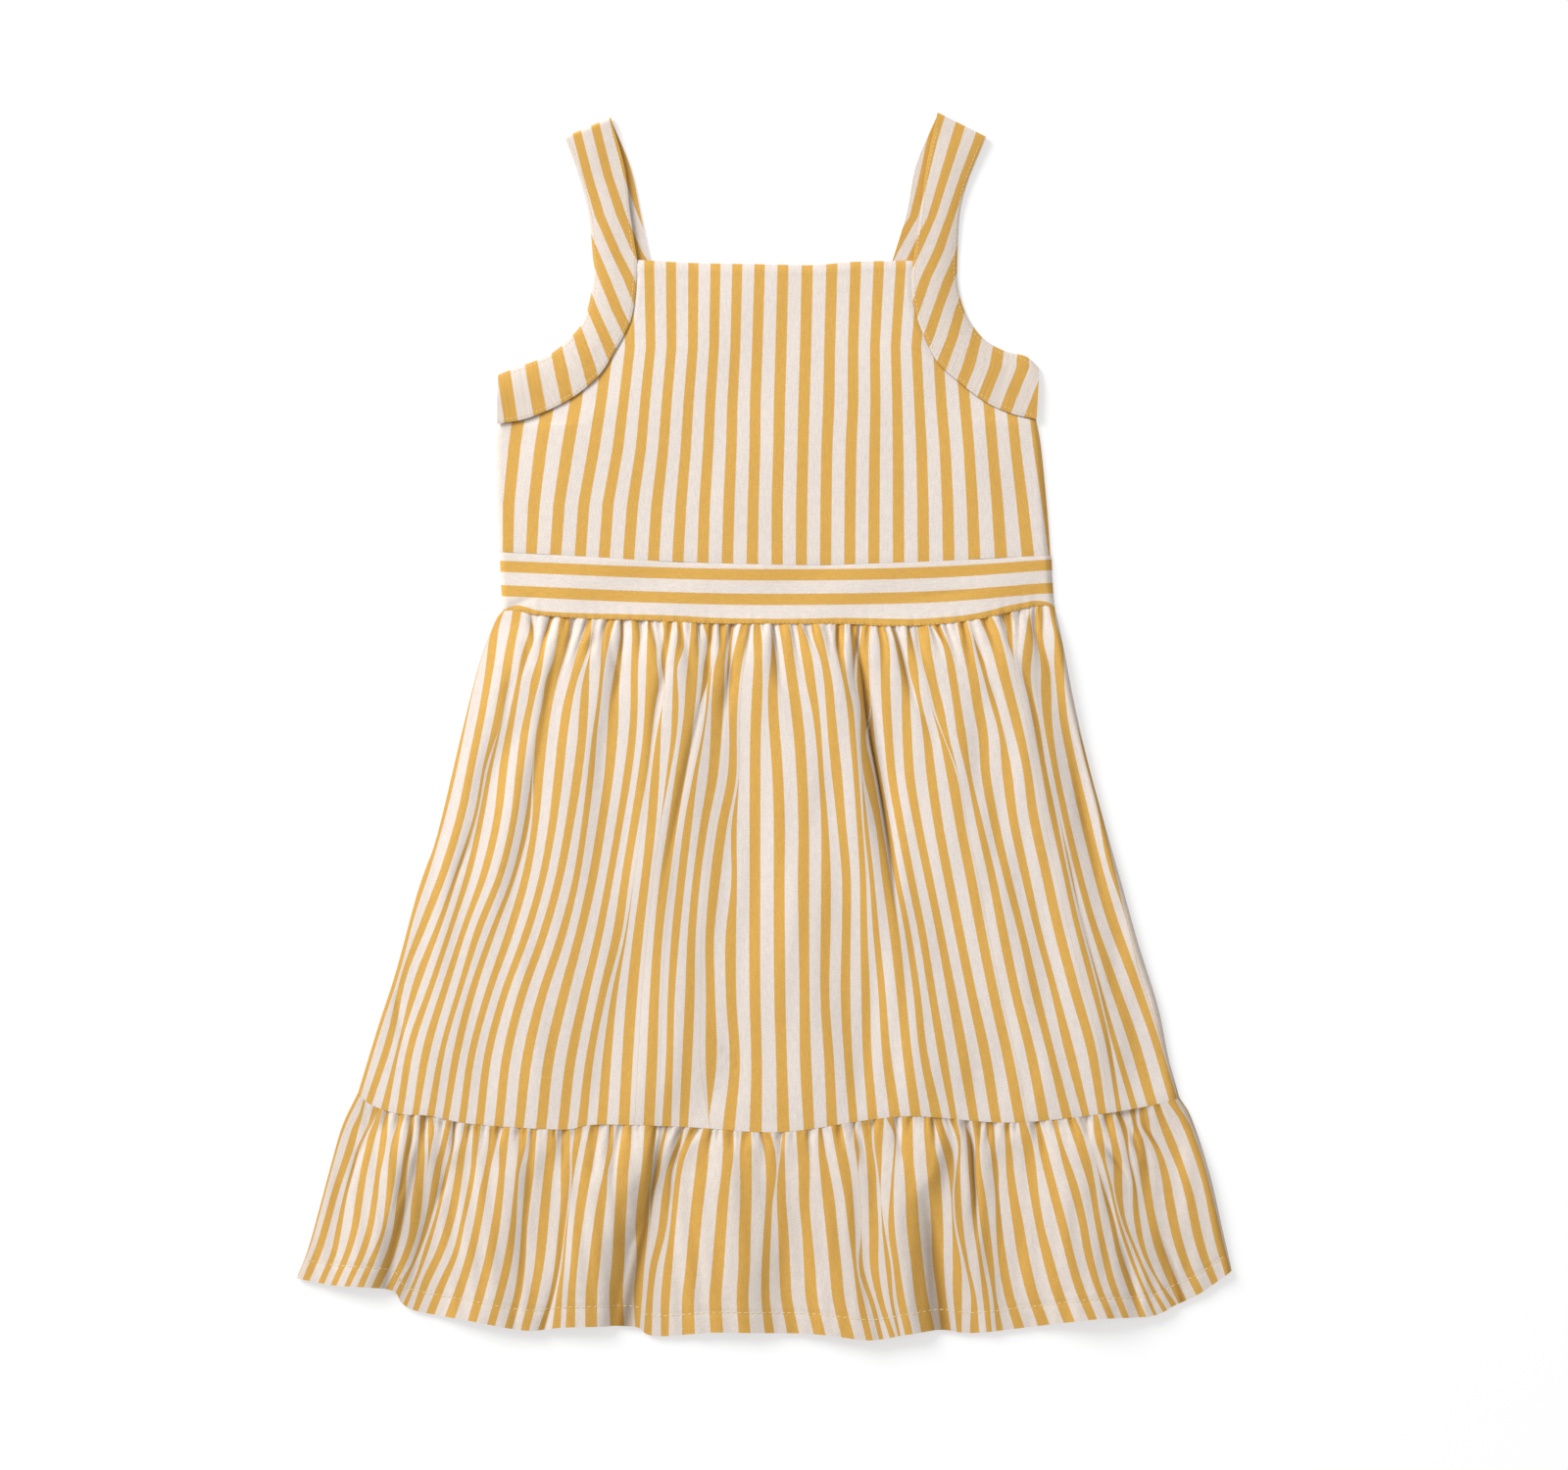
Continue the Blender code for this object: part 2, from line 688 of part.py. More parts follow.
def inward_step(line, by):
    """A step of this length square to a line of points, to its left going down the line if positive."""
    along = np.gradient(line, axis=0)
    along /= np.linalg.norm(along, axis=1)[:, None]
    return np.column_stack([-along[:, 1], along[:, 0]]) * by


def strap_height(up, share):
    """Height of a band and strap over the table: level with the bodice at its seam, then higher."""
    rise = np.clip((np.arange(len(up)) - BAND_ROWS) / STRAP_ROWS, 0.0, 1.0)[:, None]
    band = (front_height(up) - FRONT_EDGE_TOP) * np.sin(math.pi / 2 * share)
    crown = SHOULDER_RISE + STRAP_CROWN * np.sin(math.pi * share) * (1 - rise)
    return FRONT_EDGE_TOP + band * (1 - rise) + crown * rise


def shoulder_fold(edge, onward, top):
    """Rows that turn a strap over at the shoulder, from its front down to its back."""
    radius = top / 2
    rows = []
    for turn in np.linspace(0.0, math.pi, FOLD_ROWS + 2)[1:-1]:
        level = np.full(len(edge), radius + radius * math.cos(turn))
        rows.append(np.column_stack([edge + onward * radius * math.sin(turn), level]))
    return np.array(rows)


def strap(name, front_rungs, back_rungs):
    """An armhole band with its strap, from the front side seam over the shoulder to the back side seam."""
    share = np.linspace(0.0, 1.0, BAND_COLUMNS + 1)
    front = strap_side(front_rungs, share)
    back = strap_side(back_rungs, share)
    height = strap_height(front[..., 1], share)
    top = FRONT_EDGE_TOP + SHOULDER_RISE
    onward = front[-1] - front[-2]
    onward /= np.linalg.norm(onward, axis=1)[:, None]
    front[-1] -= onward * top / 2
    back[-1] = front[-1]
    fold = shoulder_fold(front[-1], onward, top)
    behind = with_height(back, np.zeros(back.shape[:2]))
    sheet = np.concatenate([with_height(front, height), fold, behind[::-1]])
    add_sheet(name, sheet, turned=front_rungs[0][0] < 0)


def strap_side(rungs, share):
    """Places across a band and strap, row by row from the side seam to the shoulder."""
    table = np.array(rungs)
    edges = []
    for edge in (table[:, :2], table[:, 2:]):
        band = smooth_line(edge[: NECKLINE_ROW + 1], BAND_ROWS + 1)
        over = smooth_line(edge[NECKLINE_ROW:], STRAP_ROWS + 1)
        edges.append(np.vstack([band, over[1:]])[:, None])
    return edges[0] * (1 - share[:, None]) + edges[1] * share[:, None]


for old in list(bpy.data.objects):
    bpy.data.objects.remove(old)

collection = bpy.data.collections.new("sundress")
bpy.context.scene.collection.children.link(collection)
middle = bpy.data.objects.new("sundress_middle", None)
collection.objects.link(middle)

bodice("bodice_front", STRAP_LEFT_FRONT, STRAP_RIGHT_FRONT, NECKLINE, back=False)
bodice("bodice_back", STRAP_LEFT_BACK, STRAP_RIGHT_BACK, lift(NECKLINE, -BACK_NECK_DROP), back=True)
strap("strap_left", STRAP_LEFT_FRONT, STRAP_LEFT_BACK)
strap("strap_right", STRAP_RIGHT_FRONT, STRAP_RIGHT_BACK)
waistbands()
skirt_front()
gathered_back(
    "skirt_back",
    SKIRT_SIDE_LEFT,
    SKIRT_SIDE_RIGHT,
    lift(TIER_SEAM, SEAM_GAP),
    lift(WAIST_SEAM, -SEAM_GAP),
    BACK_SKIRT_ROWS,
    BACK_WAIST_GATHERS,
    BACK_WAIST_REACH,
)
ruffle_front()
gathered_back(
    "ruffle_back",
    RUFFLE_SIDE_LEFT,
    RUFFLE_SIDE_RIGHT,
    lift(HEM, BACK_HEM_LIFT),
    lift(TIER_SEAM, -SEAM_GAP),
    BACK_RUFFLE_ROWS,
    BACK_TIER_GATHERS,
    BACK_TIER_REACH,
)
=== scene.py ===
"""A child's striped sundress laid flat on its back: cloth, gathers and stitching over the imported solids.

X runs across the dress, Y up from the hem to the straps, and Z up off the table.
Tables are in millimetres, or in tenths of one where they say so, with the middle of the dress at the
origin. Stripes are counted from the left, a mustard one and a white one to each count, and a mustard
stripe's middle is on the whole number. The tables of the skirt's and the ruffle's stripes, creases and
broad folds were measured in the photo by separate scripts and corrected by hand in places.
"""

import functools
import math

import bmesh
import bpy
import numpy as np
from mathutils import Matrix, Vector


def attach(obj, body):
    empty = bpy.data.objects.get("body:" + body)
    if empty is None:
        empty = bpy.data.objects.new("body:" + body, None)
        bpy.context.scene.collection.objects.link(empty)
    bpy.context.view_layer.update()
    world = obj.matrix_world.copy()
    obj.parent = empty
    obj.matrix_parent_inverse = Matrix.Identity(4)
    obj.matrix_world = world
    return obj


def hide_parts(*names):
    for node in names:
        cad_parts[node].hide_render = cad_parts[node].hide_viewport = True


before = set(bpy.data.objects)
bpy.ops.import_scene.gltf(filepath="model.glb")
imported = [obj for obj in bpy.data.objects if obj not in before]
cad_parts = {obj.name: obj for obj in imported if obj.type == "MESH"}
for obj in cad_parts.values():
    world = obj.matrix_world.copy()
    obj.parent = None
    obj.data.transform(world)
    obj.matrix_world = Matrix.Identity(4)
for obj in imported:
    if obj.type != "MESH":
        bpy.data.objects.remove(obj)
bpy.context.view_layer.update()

MM = 0.001
SEED = 11

# Cloth: repeat of the stripes and the mustard stripe's share of it, walls of single and of doubled jersey,
# and half the gap at a seam
STRIPE_PITCH = 13.0
MUSTARD_SHARE = 0.45
JERSEY = 0.9
DOUBLED = 1.1
SEAM = 0.03

# Panels: length of the skirt and of the ruffle as they lie, the ruffle's cut length, and the hem's depth
SKIRT_LENGTH = 272.0
RUFFLE_LENGTH = 112.0
RUFFLE_CUT = 118.0
HEM_DEPTH = 11.0

# Side edges of the front: height of its top there, the least height past its roll so that it clears the
# back, how far the gathered and the plain pieces roll over, how far the cloth goes on rising, and the
# roll's share of that rise at the left and at the right
EDGE_TOP = 1.25
BACK_CLEAR = 3.4
SIDE_ROLL = 3.6
PLAIN_ROLL = 3.2
SIDE_BREADTH = 40.0
LEFT_ROLL_SHARE = 0.4
RIGHT_ROLL_SHARE = 0.62

# Creases: how sharply their sides fall away and how many half widths they reach; their painted shade:
# the crease depth for full shade, the most it counts, and the share of the half width that it covers
CREASE_SHARPNESS = 2.4
CREASE_REACH = 6
CREASE_SHADE_DEPTH = 3.5
CREASE_SHADE_MOST = 1.5
CREASE_SHADE_SHARE = 0.6

# Colour of the cloth: its two dyes, how much painted shade darkens a fold's floor and how much warmer it
# makes it, the painted shade that the side edges, the ruffle and the straps get, and its width at an edge
OFF_WHITE = (0.74, 0.66, 0.60, 1.0)
MUSTARD = (0.65, 0.371, 0.0824, 1.0)
FOLD_SHADE = 0.5
SHADE_WARMTH = (1.0, 0.90, 0.76, 1.0)
EDGE_SHADE = 0.38
RUFFLE_SHADE = 0.11
STRAP_SHADE = 0.15
EDGE_SHADE_WIDTH = 4.5

# Knit, in metres: width of a wale, height of a course, and how far the loops stand up
WALE = 0.00070
COURSE = 0.00055
LOOP_HEIGHT = 0.00012

# Studio: width of the picture and its middle in millimetres, light of the room, glow of the table, and the
# window's power, place and size
FRAME_WIDTH = 848.0
PHOTO_MIDDLE = (10.65, -4.93)
ROOM_LIGHT = 0.60
TABLE_GLOW = 0.50
WINDOW_LIGHT = 151.0
WINDOW_FROM = (-2.42, 2.12, 1.88)
WINDOW_SIZE = 2.1

# Height of the front cloth over the table: place up the dress, height of the highest cloth there
FRONT_HEIGHT = (
    (-332.0, 5.6),
    (-300.0, 6.7),
    (-270.0, 7.6),
    (-246.0, 7.8),
    (-228.0, 7.0),
    (-216.5, 6.0),
    (-204.0, 6.3),
    (-160.0, 7.1),
    (-60.0, 8.6),
    (10.0, 10.0),
    (36.0, 10.2),
    (48.0, 8.8),
    (56.0, 6.6),
    (66.0, 5.6),
    (94.0, 4.8),
    (160.0, 4.4),
    (252.0, 3.8),
)

# Seams that run across the front: place across, place up
NECKLINE = ((-68.5, 252.3), (-38.0, 250.6), (0.0, 249.9), (27.0, 249.4), (48.8, 251.2), (80.1, 251.9))
BODICE_FOOT = (
    (-143.8, 94.2), (-94.3, 91.5), (-50.8, 88.9), (20.7, 87.0), (57.3, 87.8), (98.6, 89.4), (154.0, 92.3),
)
WAIST_SEAM = (
    (-141.6, 62.3), (-134.1, 62.3), (-122.0, 59.9), (-94.7, 57.9), (-72.6, 57.4), (-29.1, 55.4),
    (0.0, 55.3), (45.6, 55.0), (65.0, 54.1), (89.6, 54.5), (108.8, 56.7), (119.6, 58.4), (130.5, 61.0),
    (141.4, 63.7), (148.0, 65.0), (153.0, 64.8), (157.3, 62.5),
)
TIER_SEAM = (
    (-220.4, -199.4), (-211.4, -205.8), (-197.1, -210.0), (-181.7, -210.8), (-157.9, -215.3),
    (-109.7, -218.3), (-90.6, -215.6), (-42.9, -216.9), (-3.1, -219.7), (21.3, -218.5), (55.7, -213.2),
    (82.2, -211.1), (130.4, -214.5), (172.8, -211.1), (208.9, -205.5), (224.0, -201.6),
)
HEM = (
    (-253.1, -299.1), (-233.7, -302.3), (-214.6, -303.3), (-200.4, -306.0), (-196.0, -312.6),
    (-186.5, -317.1), (-156.8, -321.9), (-128.2, -326.9), (-105.9, -325.0), (-71.5, -325.1),
    (-63.5, -329.3), (-52.9, -330.3), (-27.0, -328.0), (5.9, -328.5), (32.4, -329.3), (57.8, -331.9),
    (77.4, -328.8), (96.0, -326.9), (112.4, -328.6), (145.8, -325.0), (179.2, -320.3), (208.9, -319.2),
    (221.6, -313.9), (235.9, -307.0), (253.1, -294.8),
)

# Side seams from the foot up: place across, place up
BODICE_SIDE_LEFT = ((-143.9, 94.2), (-145.5, 127.0), (-145.3, 150.0), (-144.6, 163.3))
BODICE_SIDE_RIGHT = ((154.0, 92.3), (152.3, 116.0), (149.6, 150.0), (147.3, 165.7))
WAISTBAND_SIDE_LEFT = ((-141.6, 62.3), (-142.7, 76.0), (-143.4, 93.9))
WAISTBAND_SIDE_RIGHT = ((157.3, 62.5), (155.4, 76.0), (154.6, 92.0))
SKIRT_SIDE_LEFT = (
    (-220.4, -199.4), (-209.3, -163.0), (-199.5, -132.7), (-187.0, -86.8), (-177.5, -60.0), (-163.2, -0.7),
    (-154.2, 34.3), (-146.0, 56.0), (-141.9, 62.0),
)
SKIRT_SIDE_RIGHT = (
    (224.0, -201.6), (218.4, -177.2), (213.1, -151.7), (202.5, -117.8), (193.2, -84.4), (184.5, -53.7),
    (175.0, -18.7), (167.5, 14.2), (162.2, 42.0), (159.4, 55.0), (157.6, 62.2),
)
RUFFLE_SIDE_LEFT = (
    (-253.1, -299.1), (-246.6, -281.6), (-236.0, -242.4), (-228.9, -217.5), (-220.6, -199.7),
)
RUFFLE_SIDE_RIGHT = (
    (253.1, -294.8), (248.6, -274.7), (240.9, -241.3), (230.6, -212.7), (224.2, -201.9),
)

# Armhole bands and straps, a row for each place along them from the side seam to the shoulder:
# outer edge across and up, inner edge across and up. The bodice's seam runs up to the row at the neckline.
STRAP_LEFT_FRONT = (
    (-144.4, 190.0, -144.6, 163.6), (-137.7, 192.8, -131.9, 165.4), (-129.3, 195.8, -119.0, 169.9),
    (-115.0, 202.0, -103.5, 177.9), (-102.4, 213.2, -89.5, 189.7), (-97.0, 222.0, -80.4, 203.8),
    (-93.9, 234.0, -72.4, 219.3), (-92.2, 246.0, -69.6, 236.0), (-92.8, 253.0, -68.8, 252.3),
    (-95.3, 277.6, -72.6, 277.0), (-101.2, 299.8, -75.6, 302.0), (-108.1, 318.9, -83.2, 329.5),
)
STRAP_LEFT_BACK = (
    (-144.4, 189.2, -144.6, 162.0), (-137.4, 191.8, -130.0, 163.0), (-128.6, 194.8, -115.0, 168.0),
    (-114.0, 200.8, -96.5, 178.0), (-101.4, 212.0, -80.0, 192.0), (-95.9, 221.0, -69.5, 208.0),
    (-92.4, 233.0, -63.0, 224.0), (-90.0, 245.0, -60.6, 238.0), (-88.6, 254.0, -61.2, 249.0),
    (-91.2, 277.6, -66.8, 276.0), (-99.6, 299.8, -72.4, 302.0), (-108.1, 318.9, -83.2, 329.5),
)
STRAP_RIGHT_FRONT = (
    (148.9, 193.6, 147.3, 165.9), (142.0, 200.0, 133.9, 168.9), (131.0, 202.8, 119.5, 175.4),
    (120.6, 208.2, 105.0, 186.4), (113.0, 216.4, 93.3, 197.4), (107.6, 227.0, 84.9, 214.5),
    (105.0, 238.0, 80.6, 228.6), (104.4, 246.0, 79.6, 242.0), (104.6, 256.0, 80.5, 252.1),
    (106.1, 278.1, 84.4, 277.4), (110.8, 296.1, 87.4, 302.0), (120.4, 318.9, 93.9, 332.2),
)
STRAP_RIGHT_BACK = (
    (148.9, 192.8, 147.3, 164.2), (141.6, 199.0, 131.0, 167.0), (130.2, 201.8, 112.5, 175.4),
    (119.6, 207.2, 95.6, 187.4), (112.0, 215.4, 81.4, 201.4), (106.4, 226.0, 73.0, 217.5),
    (103.2, 237.0, 69.4, 230.6), (101.6, 245.0, 67.6, 241.0), (101.2, 255.0, 68.6, 249.6),
    (102.2, 278.1, 77.0, 277.4), (108.6, 296.1, 82.2, 304.0), (120.4, 318.9, 93.9, 332.2),
)

# Gathers at the waist: place across at the seam, how deep the tuck is
WAIST_GATHERS = (
    (-126.1, 3.6), (-115.7, 4.8), (-103.8, 4.5), (-95.9, 3.9), (-85.3, 3.6), (-76.8, 3.9), (-67.0, 3.4),
    (-60.9, 2.8), (-50.3, 3.9), (-45.5, 2.5), (-35.5, 4.5), (-29.1, 3.1), (-23.8, 2.8), (-18.5, 4.8),
    (-7.4, 3.4), (-3.1, 2.5), (4.8, 4.8), (14.9, 3.4), (21.8, 3.1), (26.0, 2.5), (33.4, 3.6), (39.8, 4.8),
    (43.0, 2.5), (47.2, 3.1), (51.2, 4.8), (56.2, 2.8), (62.1, 3.4), (70.0, 4.8), (78.0, 3.4), (82.7, 3.1),
    (89.6, 3.9), (97.6, 3.9), (107.1, 4.8), (118.2, 4.2), (127.8, 3.4), (132.0, 4.2), (137.9, 3.4),
    (146.3, 4.5), (150.6, 3.1),
)

# Gathers at the tier seam: place across at the seam, how deep the tuck is
RUFFLE_GATHERS = (
    (-210.9, 2.5), (-204.5, 2.5), (-197.6, 2.8), (-191.0, 2.8), (-183.3, 4.5), (-174.3, 2.8),
    (-167.4, 4.5), (-158.4, 2.8), (-151.5, 3.1), (-143.0, 3.4), (-132.4, 3.1), (-125.6, 2.5),
    (-109.4, 3.6), (-102.5, 2.2), (-92.0, 2.2), (-83.2, 3.4), (-76.3, 2.5), (-71.0, 2.2), (-58.8, 4.8),
    (-51.5, 2.5), (-44.5, 4.5), (-37.0, 2.8), (-28.0, 3.1), (-16.9, 3.1), (-10.5, 2.2), (-2.1, 3.1),
    (9.1, 3.9), (24.4, 3.1), (30.8, 2.5), (39.8, 3.1), (48.3, 3.4), (53.1, 2.2), (58.4, 2.5), (71.3, 3.4),
    (82.0, 2.2), (90.7, 4.8), (98.2, 2.8), (109.2, 4.5), (116.7, 3.1), (124.1, 2.8), (131.8, 3.1),
    (145.8, 3.1), (156.1, 2.5), (165.1, 2.8), (173.9, 4.5), (184.5, 3.1), (192.0, 3.4), (200.4, 4.5),
    (207.0, 2.5), (213.0, 2.8),
)

# Mustard stripes of the skirt: how far down the panel each level lies, as a share of its length, then for
# each stripe the places across of its left edge and of its right edge at these levels, in tenths of a
# millimetre. Where both are the same the stripe is hidden in a fold.
SKIRT_LEVELS = (
    0.006, 0.030, 0.054, 0.083, 0.121, 0.164, 0.227, 0.299, 0.400, 0.510, 0.620, 0.740, 0.870, 0.980,
)
SKIRT_STRIPES = (
    (
        (-1436, -1471, -1497, -1525, -1556, -1586, -1627, -1672, -1734, -1815, -1910, -1994, -2104, -2191),
        (-1431, -1466, -1492, -1519, -1549, -1577, -1611, -1649, -1711, -1792, -1887, -1972, -2083, -2171),
    ),
    (
        (-1433, -1468, -1489, -1496, -1508, -1525, -1557, -1598, -1654, -1740, -1849, -1960, -2046, -2140),
        (-1414, -1436, -1443, -1451, -1466, -1487, -1518, -1558, -1612, -1699, -1810, -1934, -2012, -2108),
    ),
    (
        (-1364, -1373, -1386, -1403, -1418, -1437, -1470, -1516, -1567, -1661, -1767, -1892, -1982, -2060),
        (-1318, -1329, -1344, -1355, -1371, -1395, -1432, -1500, -1551, -1644, -1739, -1854, -1967, -2026),
    ),
    (
        (-1316, -1328, -1343, -1355, -1370, -1395, -1432, -1486, -1541, -1611, -1702, -1811, -1932, -1982),
        (-1316, -1328, -1343, -1355, -1370, -1395, -1423, -1467, -1513, -1578, -1675, -1780, -1895, -1946),
    ),
    (
        (-1264, -1267, -1288, -1314, -1331, -1357, -1392, -1430, -1460, -1529, -1632, -1739, -1848, -1896),
        (-1264, -1248, -1244, -1281, -1309, -1329, -1358, -1386, -1419, -1489, -1600, -1702, -1804, -1859),
    ),
    (
        (-1165, -1181, -1207, -1220, -1257, -1274, -1314, -1339, -1369, -1440, -1558, -1655, -1756, -1814),
        (-1149, -1164, -1181, -1191, -1208, -1240, -1272, -1298, -1334, -1405, -1520, -1625, -1726, -1776),
    ),
    (
        (-1113, -1123, -1131, -1144, -1183, -1202, -1237, -1253, -1293, -1363, -1478, -1591, -1682, -1732),
        (-1113, -1123, -1131, -1144, -1183, -1202, -1237, -1253, -1267, -1341, -1448, -1555, -1644, -1698),
    ),
    (
        (-1107, -1116, -1122, -1136, -1178, -1195, -1231, -1246, -1254, -1309, -1397, -1506, -1602, -1646),
        (-1050, -1052, -1062, -1085, -1115, -1142, -1169, -1190, -1218, -1268, -1354, -1469, -1565, -1608),
    ),
    (
        (-958, -976, -1001, -1023, -1050, -1082, -1110, -1132, -1163, -1217, -1305, -1423, -1517, -1556),
        (-932, -936, -945, -972, -1010, -1035, -1062, -1083, -1120, -1178, -1264, -1384, -1477, -1513),
    ),
    (
        (-925, -929, -934, -952, -979, -994, -1005, -1030, -1072, -1129, -1215, -1331, -1419, -1454),
        (-925, -929, -934, -944, -945, -948, -959, -981, -1027, -1087, -1171, -1286, -1373, -1407),
    ),
    (
        (-856, -874, -879, -882, -890, -902, -928, -951, -985, -1034, -1115, -1225, -1311, -1344),
        (-811, -830, -844, -859, -872, -884, -904, -918, -952, -999, -1071, -1177, -1258, -1295),
    ),
    (
        (-778, -777, -785, -800, -819, -837, -848, -862, -901, -953, -1022, -1113, -1194, -1228),
        (-768, -765, -768, -773, -784, -786, -793, -813, -855, -906, -975, -1060, -1140, -1174),
    ),
    (
        (-717, -712, -715, -719, -721, -721, -732, -758, -802, -856, -916, -998, -1075, -1110),
        (-679, -670, -675, -681, -683, -683, -692, -715, -763, -817, -874, -950, -1023, -1058),
    ),
    (
        (-630, -631, -633, -635, -639, -644, -654, -679, -723, -773, -819, -897, -968, -1005),
        (-612, -597, -581, -580, -566, -587, -607, -629, -678, -728, -770, -854, -924, -955),
    ),
    (
        (-587, -574, -570, -572, -536, -550, -597, -621, -660, -703, -752, -825, -875, -901),
        (-587, -574, -570, -572, -536, -550, -597, -621, -660, -703, -742, -795, -828, -849),
    ),
    (
        (-549, -541, -553, -559, -535, -550, -583, -609, -633, -665, -707, -744, -769, -786),
        (-497, -509, -517, -535, -535, -550, -559, -566, -584, -619, -654, -686, -711, -727),
    ),
    (
        (-473, -465, -480, -487, -492, -496, -503, -526, -560, -599, -632, -662, -683, -699),
        (-441, -435, -431, -471, -467, -462, -474, -508, -560, -599, -632, -662, -683, -699),
    ),
    (
        (-397, -400, -407, -412, -424, -429, -449, -479, -518, -564, -595, -619, -635, -651),
        (-360, -360, -354, -357, -363, -374, -392, -424, -469, -512, -549, -568, -578, -592),
    ),
    (
        (-329, -307, -308, -327, -336, -352, -373, -408, -456, -496, -531, -551, -561, -576),
        (-276, -283, -291, -289, -308, -352, -373, -408, -456, -496, -531, -551, -561, -576),
    ),
    (
        (-268, -272, -279, -284, -308, -314, -340, -382, -433, -470, -501, -521, -531, -550),
        (-268, -272, -279, -284, -291, -304, -327, -359, -391, -427, -458, -484, -493, -502),
    ),
    (
        (-246, -244, -245, -270, -279, -286, -290, -303, -347, -387, -414, -427, -444, -458),
        (-202, -199, -209, -213, -216, -221, -232, -250, -304, -346, -371, -377, -391, -411),
    ),
    (
        (-184, -188, -194, -200, -201, -205, -207, -220, -275, -316, -341, -342, -349, -302),
        (-166, -174, -181, -186, -201, -205, -207, -220, -275, -316, -341, -342, -349, -302),
    ),
    (
        (-130, -147, -165, -178, -189, -193, -188, -197, -253, -294, -318, -315, -317, -301),
        (-82, -90, -107, -122, -135, -145, -149, -150, -201, -240, -272, -266, -259, -301),
    ),
    (
        (-77, -85, -98, -110, -122, -131, -136, -137, -178, -177, -209, -206, -186, -219),
        (-77, -85, -98, -110, -122, -131, -136, -137, -150, -148, -154, -152, -132, -157),
    ),
    (
        (-58, -61, -56, -56, -63, -70, -76, -78, -79, -79, -81, -79, -70, -78),
        (-21, -11, -12, -11, -9, -13, -20, -21, -22, -22, -23, -21, -13, -14),
    ),
    (
        (38, 41, 40, 32, 22, 20, 31, 44, 52, 52, 52, 55, 65, 70),
        (38, 48, 57, 67, 71, 74, 87, 101, 111, 109, 111, 114, 123, 134),
    ),
    (
        (79, 92, 101, 112, 127, 142, 161, 175, 185, 182, 187, 191, 194, 211),
        (136, 148, 156, 167, 183, 200, 219, 231, 241, 242, 242, 244, 254, 268),
    ),
    (
        (177, 188, 196, 211, 227, 254, 278, 294, 308, 308, 305, 304, 325, 337),
        (203, 232, 251, 265, 277, 294, 309, 321, 345, 359, 357, 351, 376, 392),
    ),
    (
        (254, 261, 291, 311, 324, 333, 345, 364, 394, 420, 419, 413, 432, 456),
        (301, 320, 333, 350, 370, 380, 397, 418, 440, 467, 466, 464, 476, 500),
    ),
    (
        (383, 384, 391, 407, 429, 446, 461, 479, 499, 516, 519, 525, 534, 557),
        (432, 430, 428, 436, 451, 478, 493, 508, 528, 549, 557, 571, 580, 607),
    ),
    (
        (466, 470, 475, 480, 484, 507, 512, 526, 537, 567, 587, 616, 637, 672),
        (505, 507, 494, 484, 484, 507, 512, 526, 557, 591, 619, 653, 683, 728),
    ),
    (
        (526, 521, 508, 501, 499, 520, 518, 533, 598, 634, 675, 713, 747, 784),
        (573, 565, 562, 565, 568, 575, 546, 588, 634, 681, 728, 762, 797, 840),
    ),
    (
        (576, 570, 568, 571, 573, 581, 566, 605, 654, 700, 757, 803, 839, 893),
        (576, 570, 568, 571, 573, 581, 596, 629, 678, 729, 790, 841, 882, 950),
    ),
    (
        (611, 623, 626, 628, 630, 635, 648, 665, 711, 769, 830, 883, 939, 997),
        (654, 673, 680, 678, 679, 684, 694, 710, 755, 812, 872, 925, 985, 1033),
    ),
    (
        (685, 706, 716, 732, 742, 743, 747, 758, 805, 866, 928, 986, 1047, 1101),
        (699, 722, 743, 759, 782, 788, 797, 809, 851, 911, 971, 1036, 1104, 1151),
    ),
    (
        (771, 772, 773, 778, 805, 835, 859, 876, 915, 970, 1030, 1095, 1169, 1219),
        (784, 799, 814, 829, 835, 854, 898, 925, 964, 1020, 1079, 1146, 1225, 1272),
    ),
    (
        (821, 828, 838, 853, 878, 902, 947, 984, 1032, 1090, 1147, 1212, 1290, 1345),
        (821, 828, 838, 853, 878, 902, 968, 1036, 1083, 1143, 1199, 1265, 1346, 1403),
    ),
    (
        (831, 836, 844, 859, 889, 915, 972, 1047, 1096, 1157, 1213, 1280, 1362, 1418),
        (887, 896, 902, 917, 936, 966, 997, 1047, 1096, 1157, 1213, 1280, 1362, 1418),
    ),
    (
        (914, 953, 974, 985, 1001, 1020, 1042, 1090, 1143, 1209, 1264, 1332, 1418, 1474),
        (953, 982, 1006, 1026, 1044, 1061, 1090, 1115, 1178, 1251, 1313, 1381, 1470, 1530),
    ),
    (
        (1046, 1056, 1070, 1088, 1106, 1123, 1156, 1169, 1219, 1290, 1368, 1440, 1530, 1600),
        (1098, 1116, 1126, 1139, 1158, 1176, 1207, 1217, 1265, 1332, 1407, 1484, 1571, 1649),
    ),
    (
        (1110, 1130, 1141, 1160, 1188, 1217, 1265, 1282, 1320, 1386, 1457, 1544, 1625, 1705),
        (1110, 1130, 1151, 1187, 1207, 1246, 1290, 1331, 1367, 1430, 1494, 1581, 1676, 1745),
    ),
    (
        (1172, 1199, 1222, 1242, 1268, 1300, 1344, 1391, 1427, 1493, 1558, 1643, 1743, 1797),
        (1237, 1267, 1282, 1302, 1323, 1352, 1394, 1434, 1477, 1543, 1610, 1695, 1792, 1840),
    ),
    (
        (1286, 1314, 1310, 1343, 1352, 1381, 1419, 1457, 1503, 1569, 1636, 1721, 1816, 1864),
        (1337, 1340, 1342, 1343, 1352, 1381, 1419, 1457, 1503, 1569, 1636, 1721, 1816, 1864),
    ),
    (
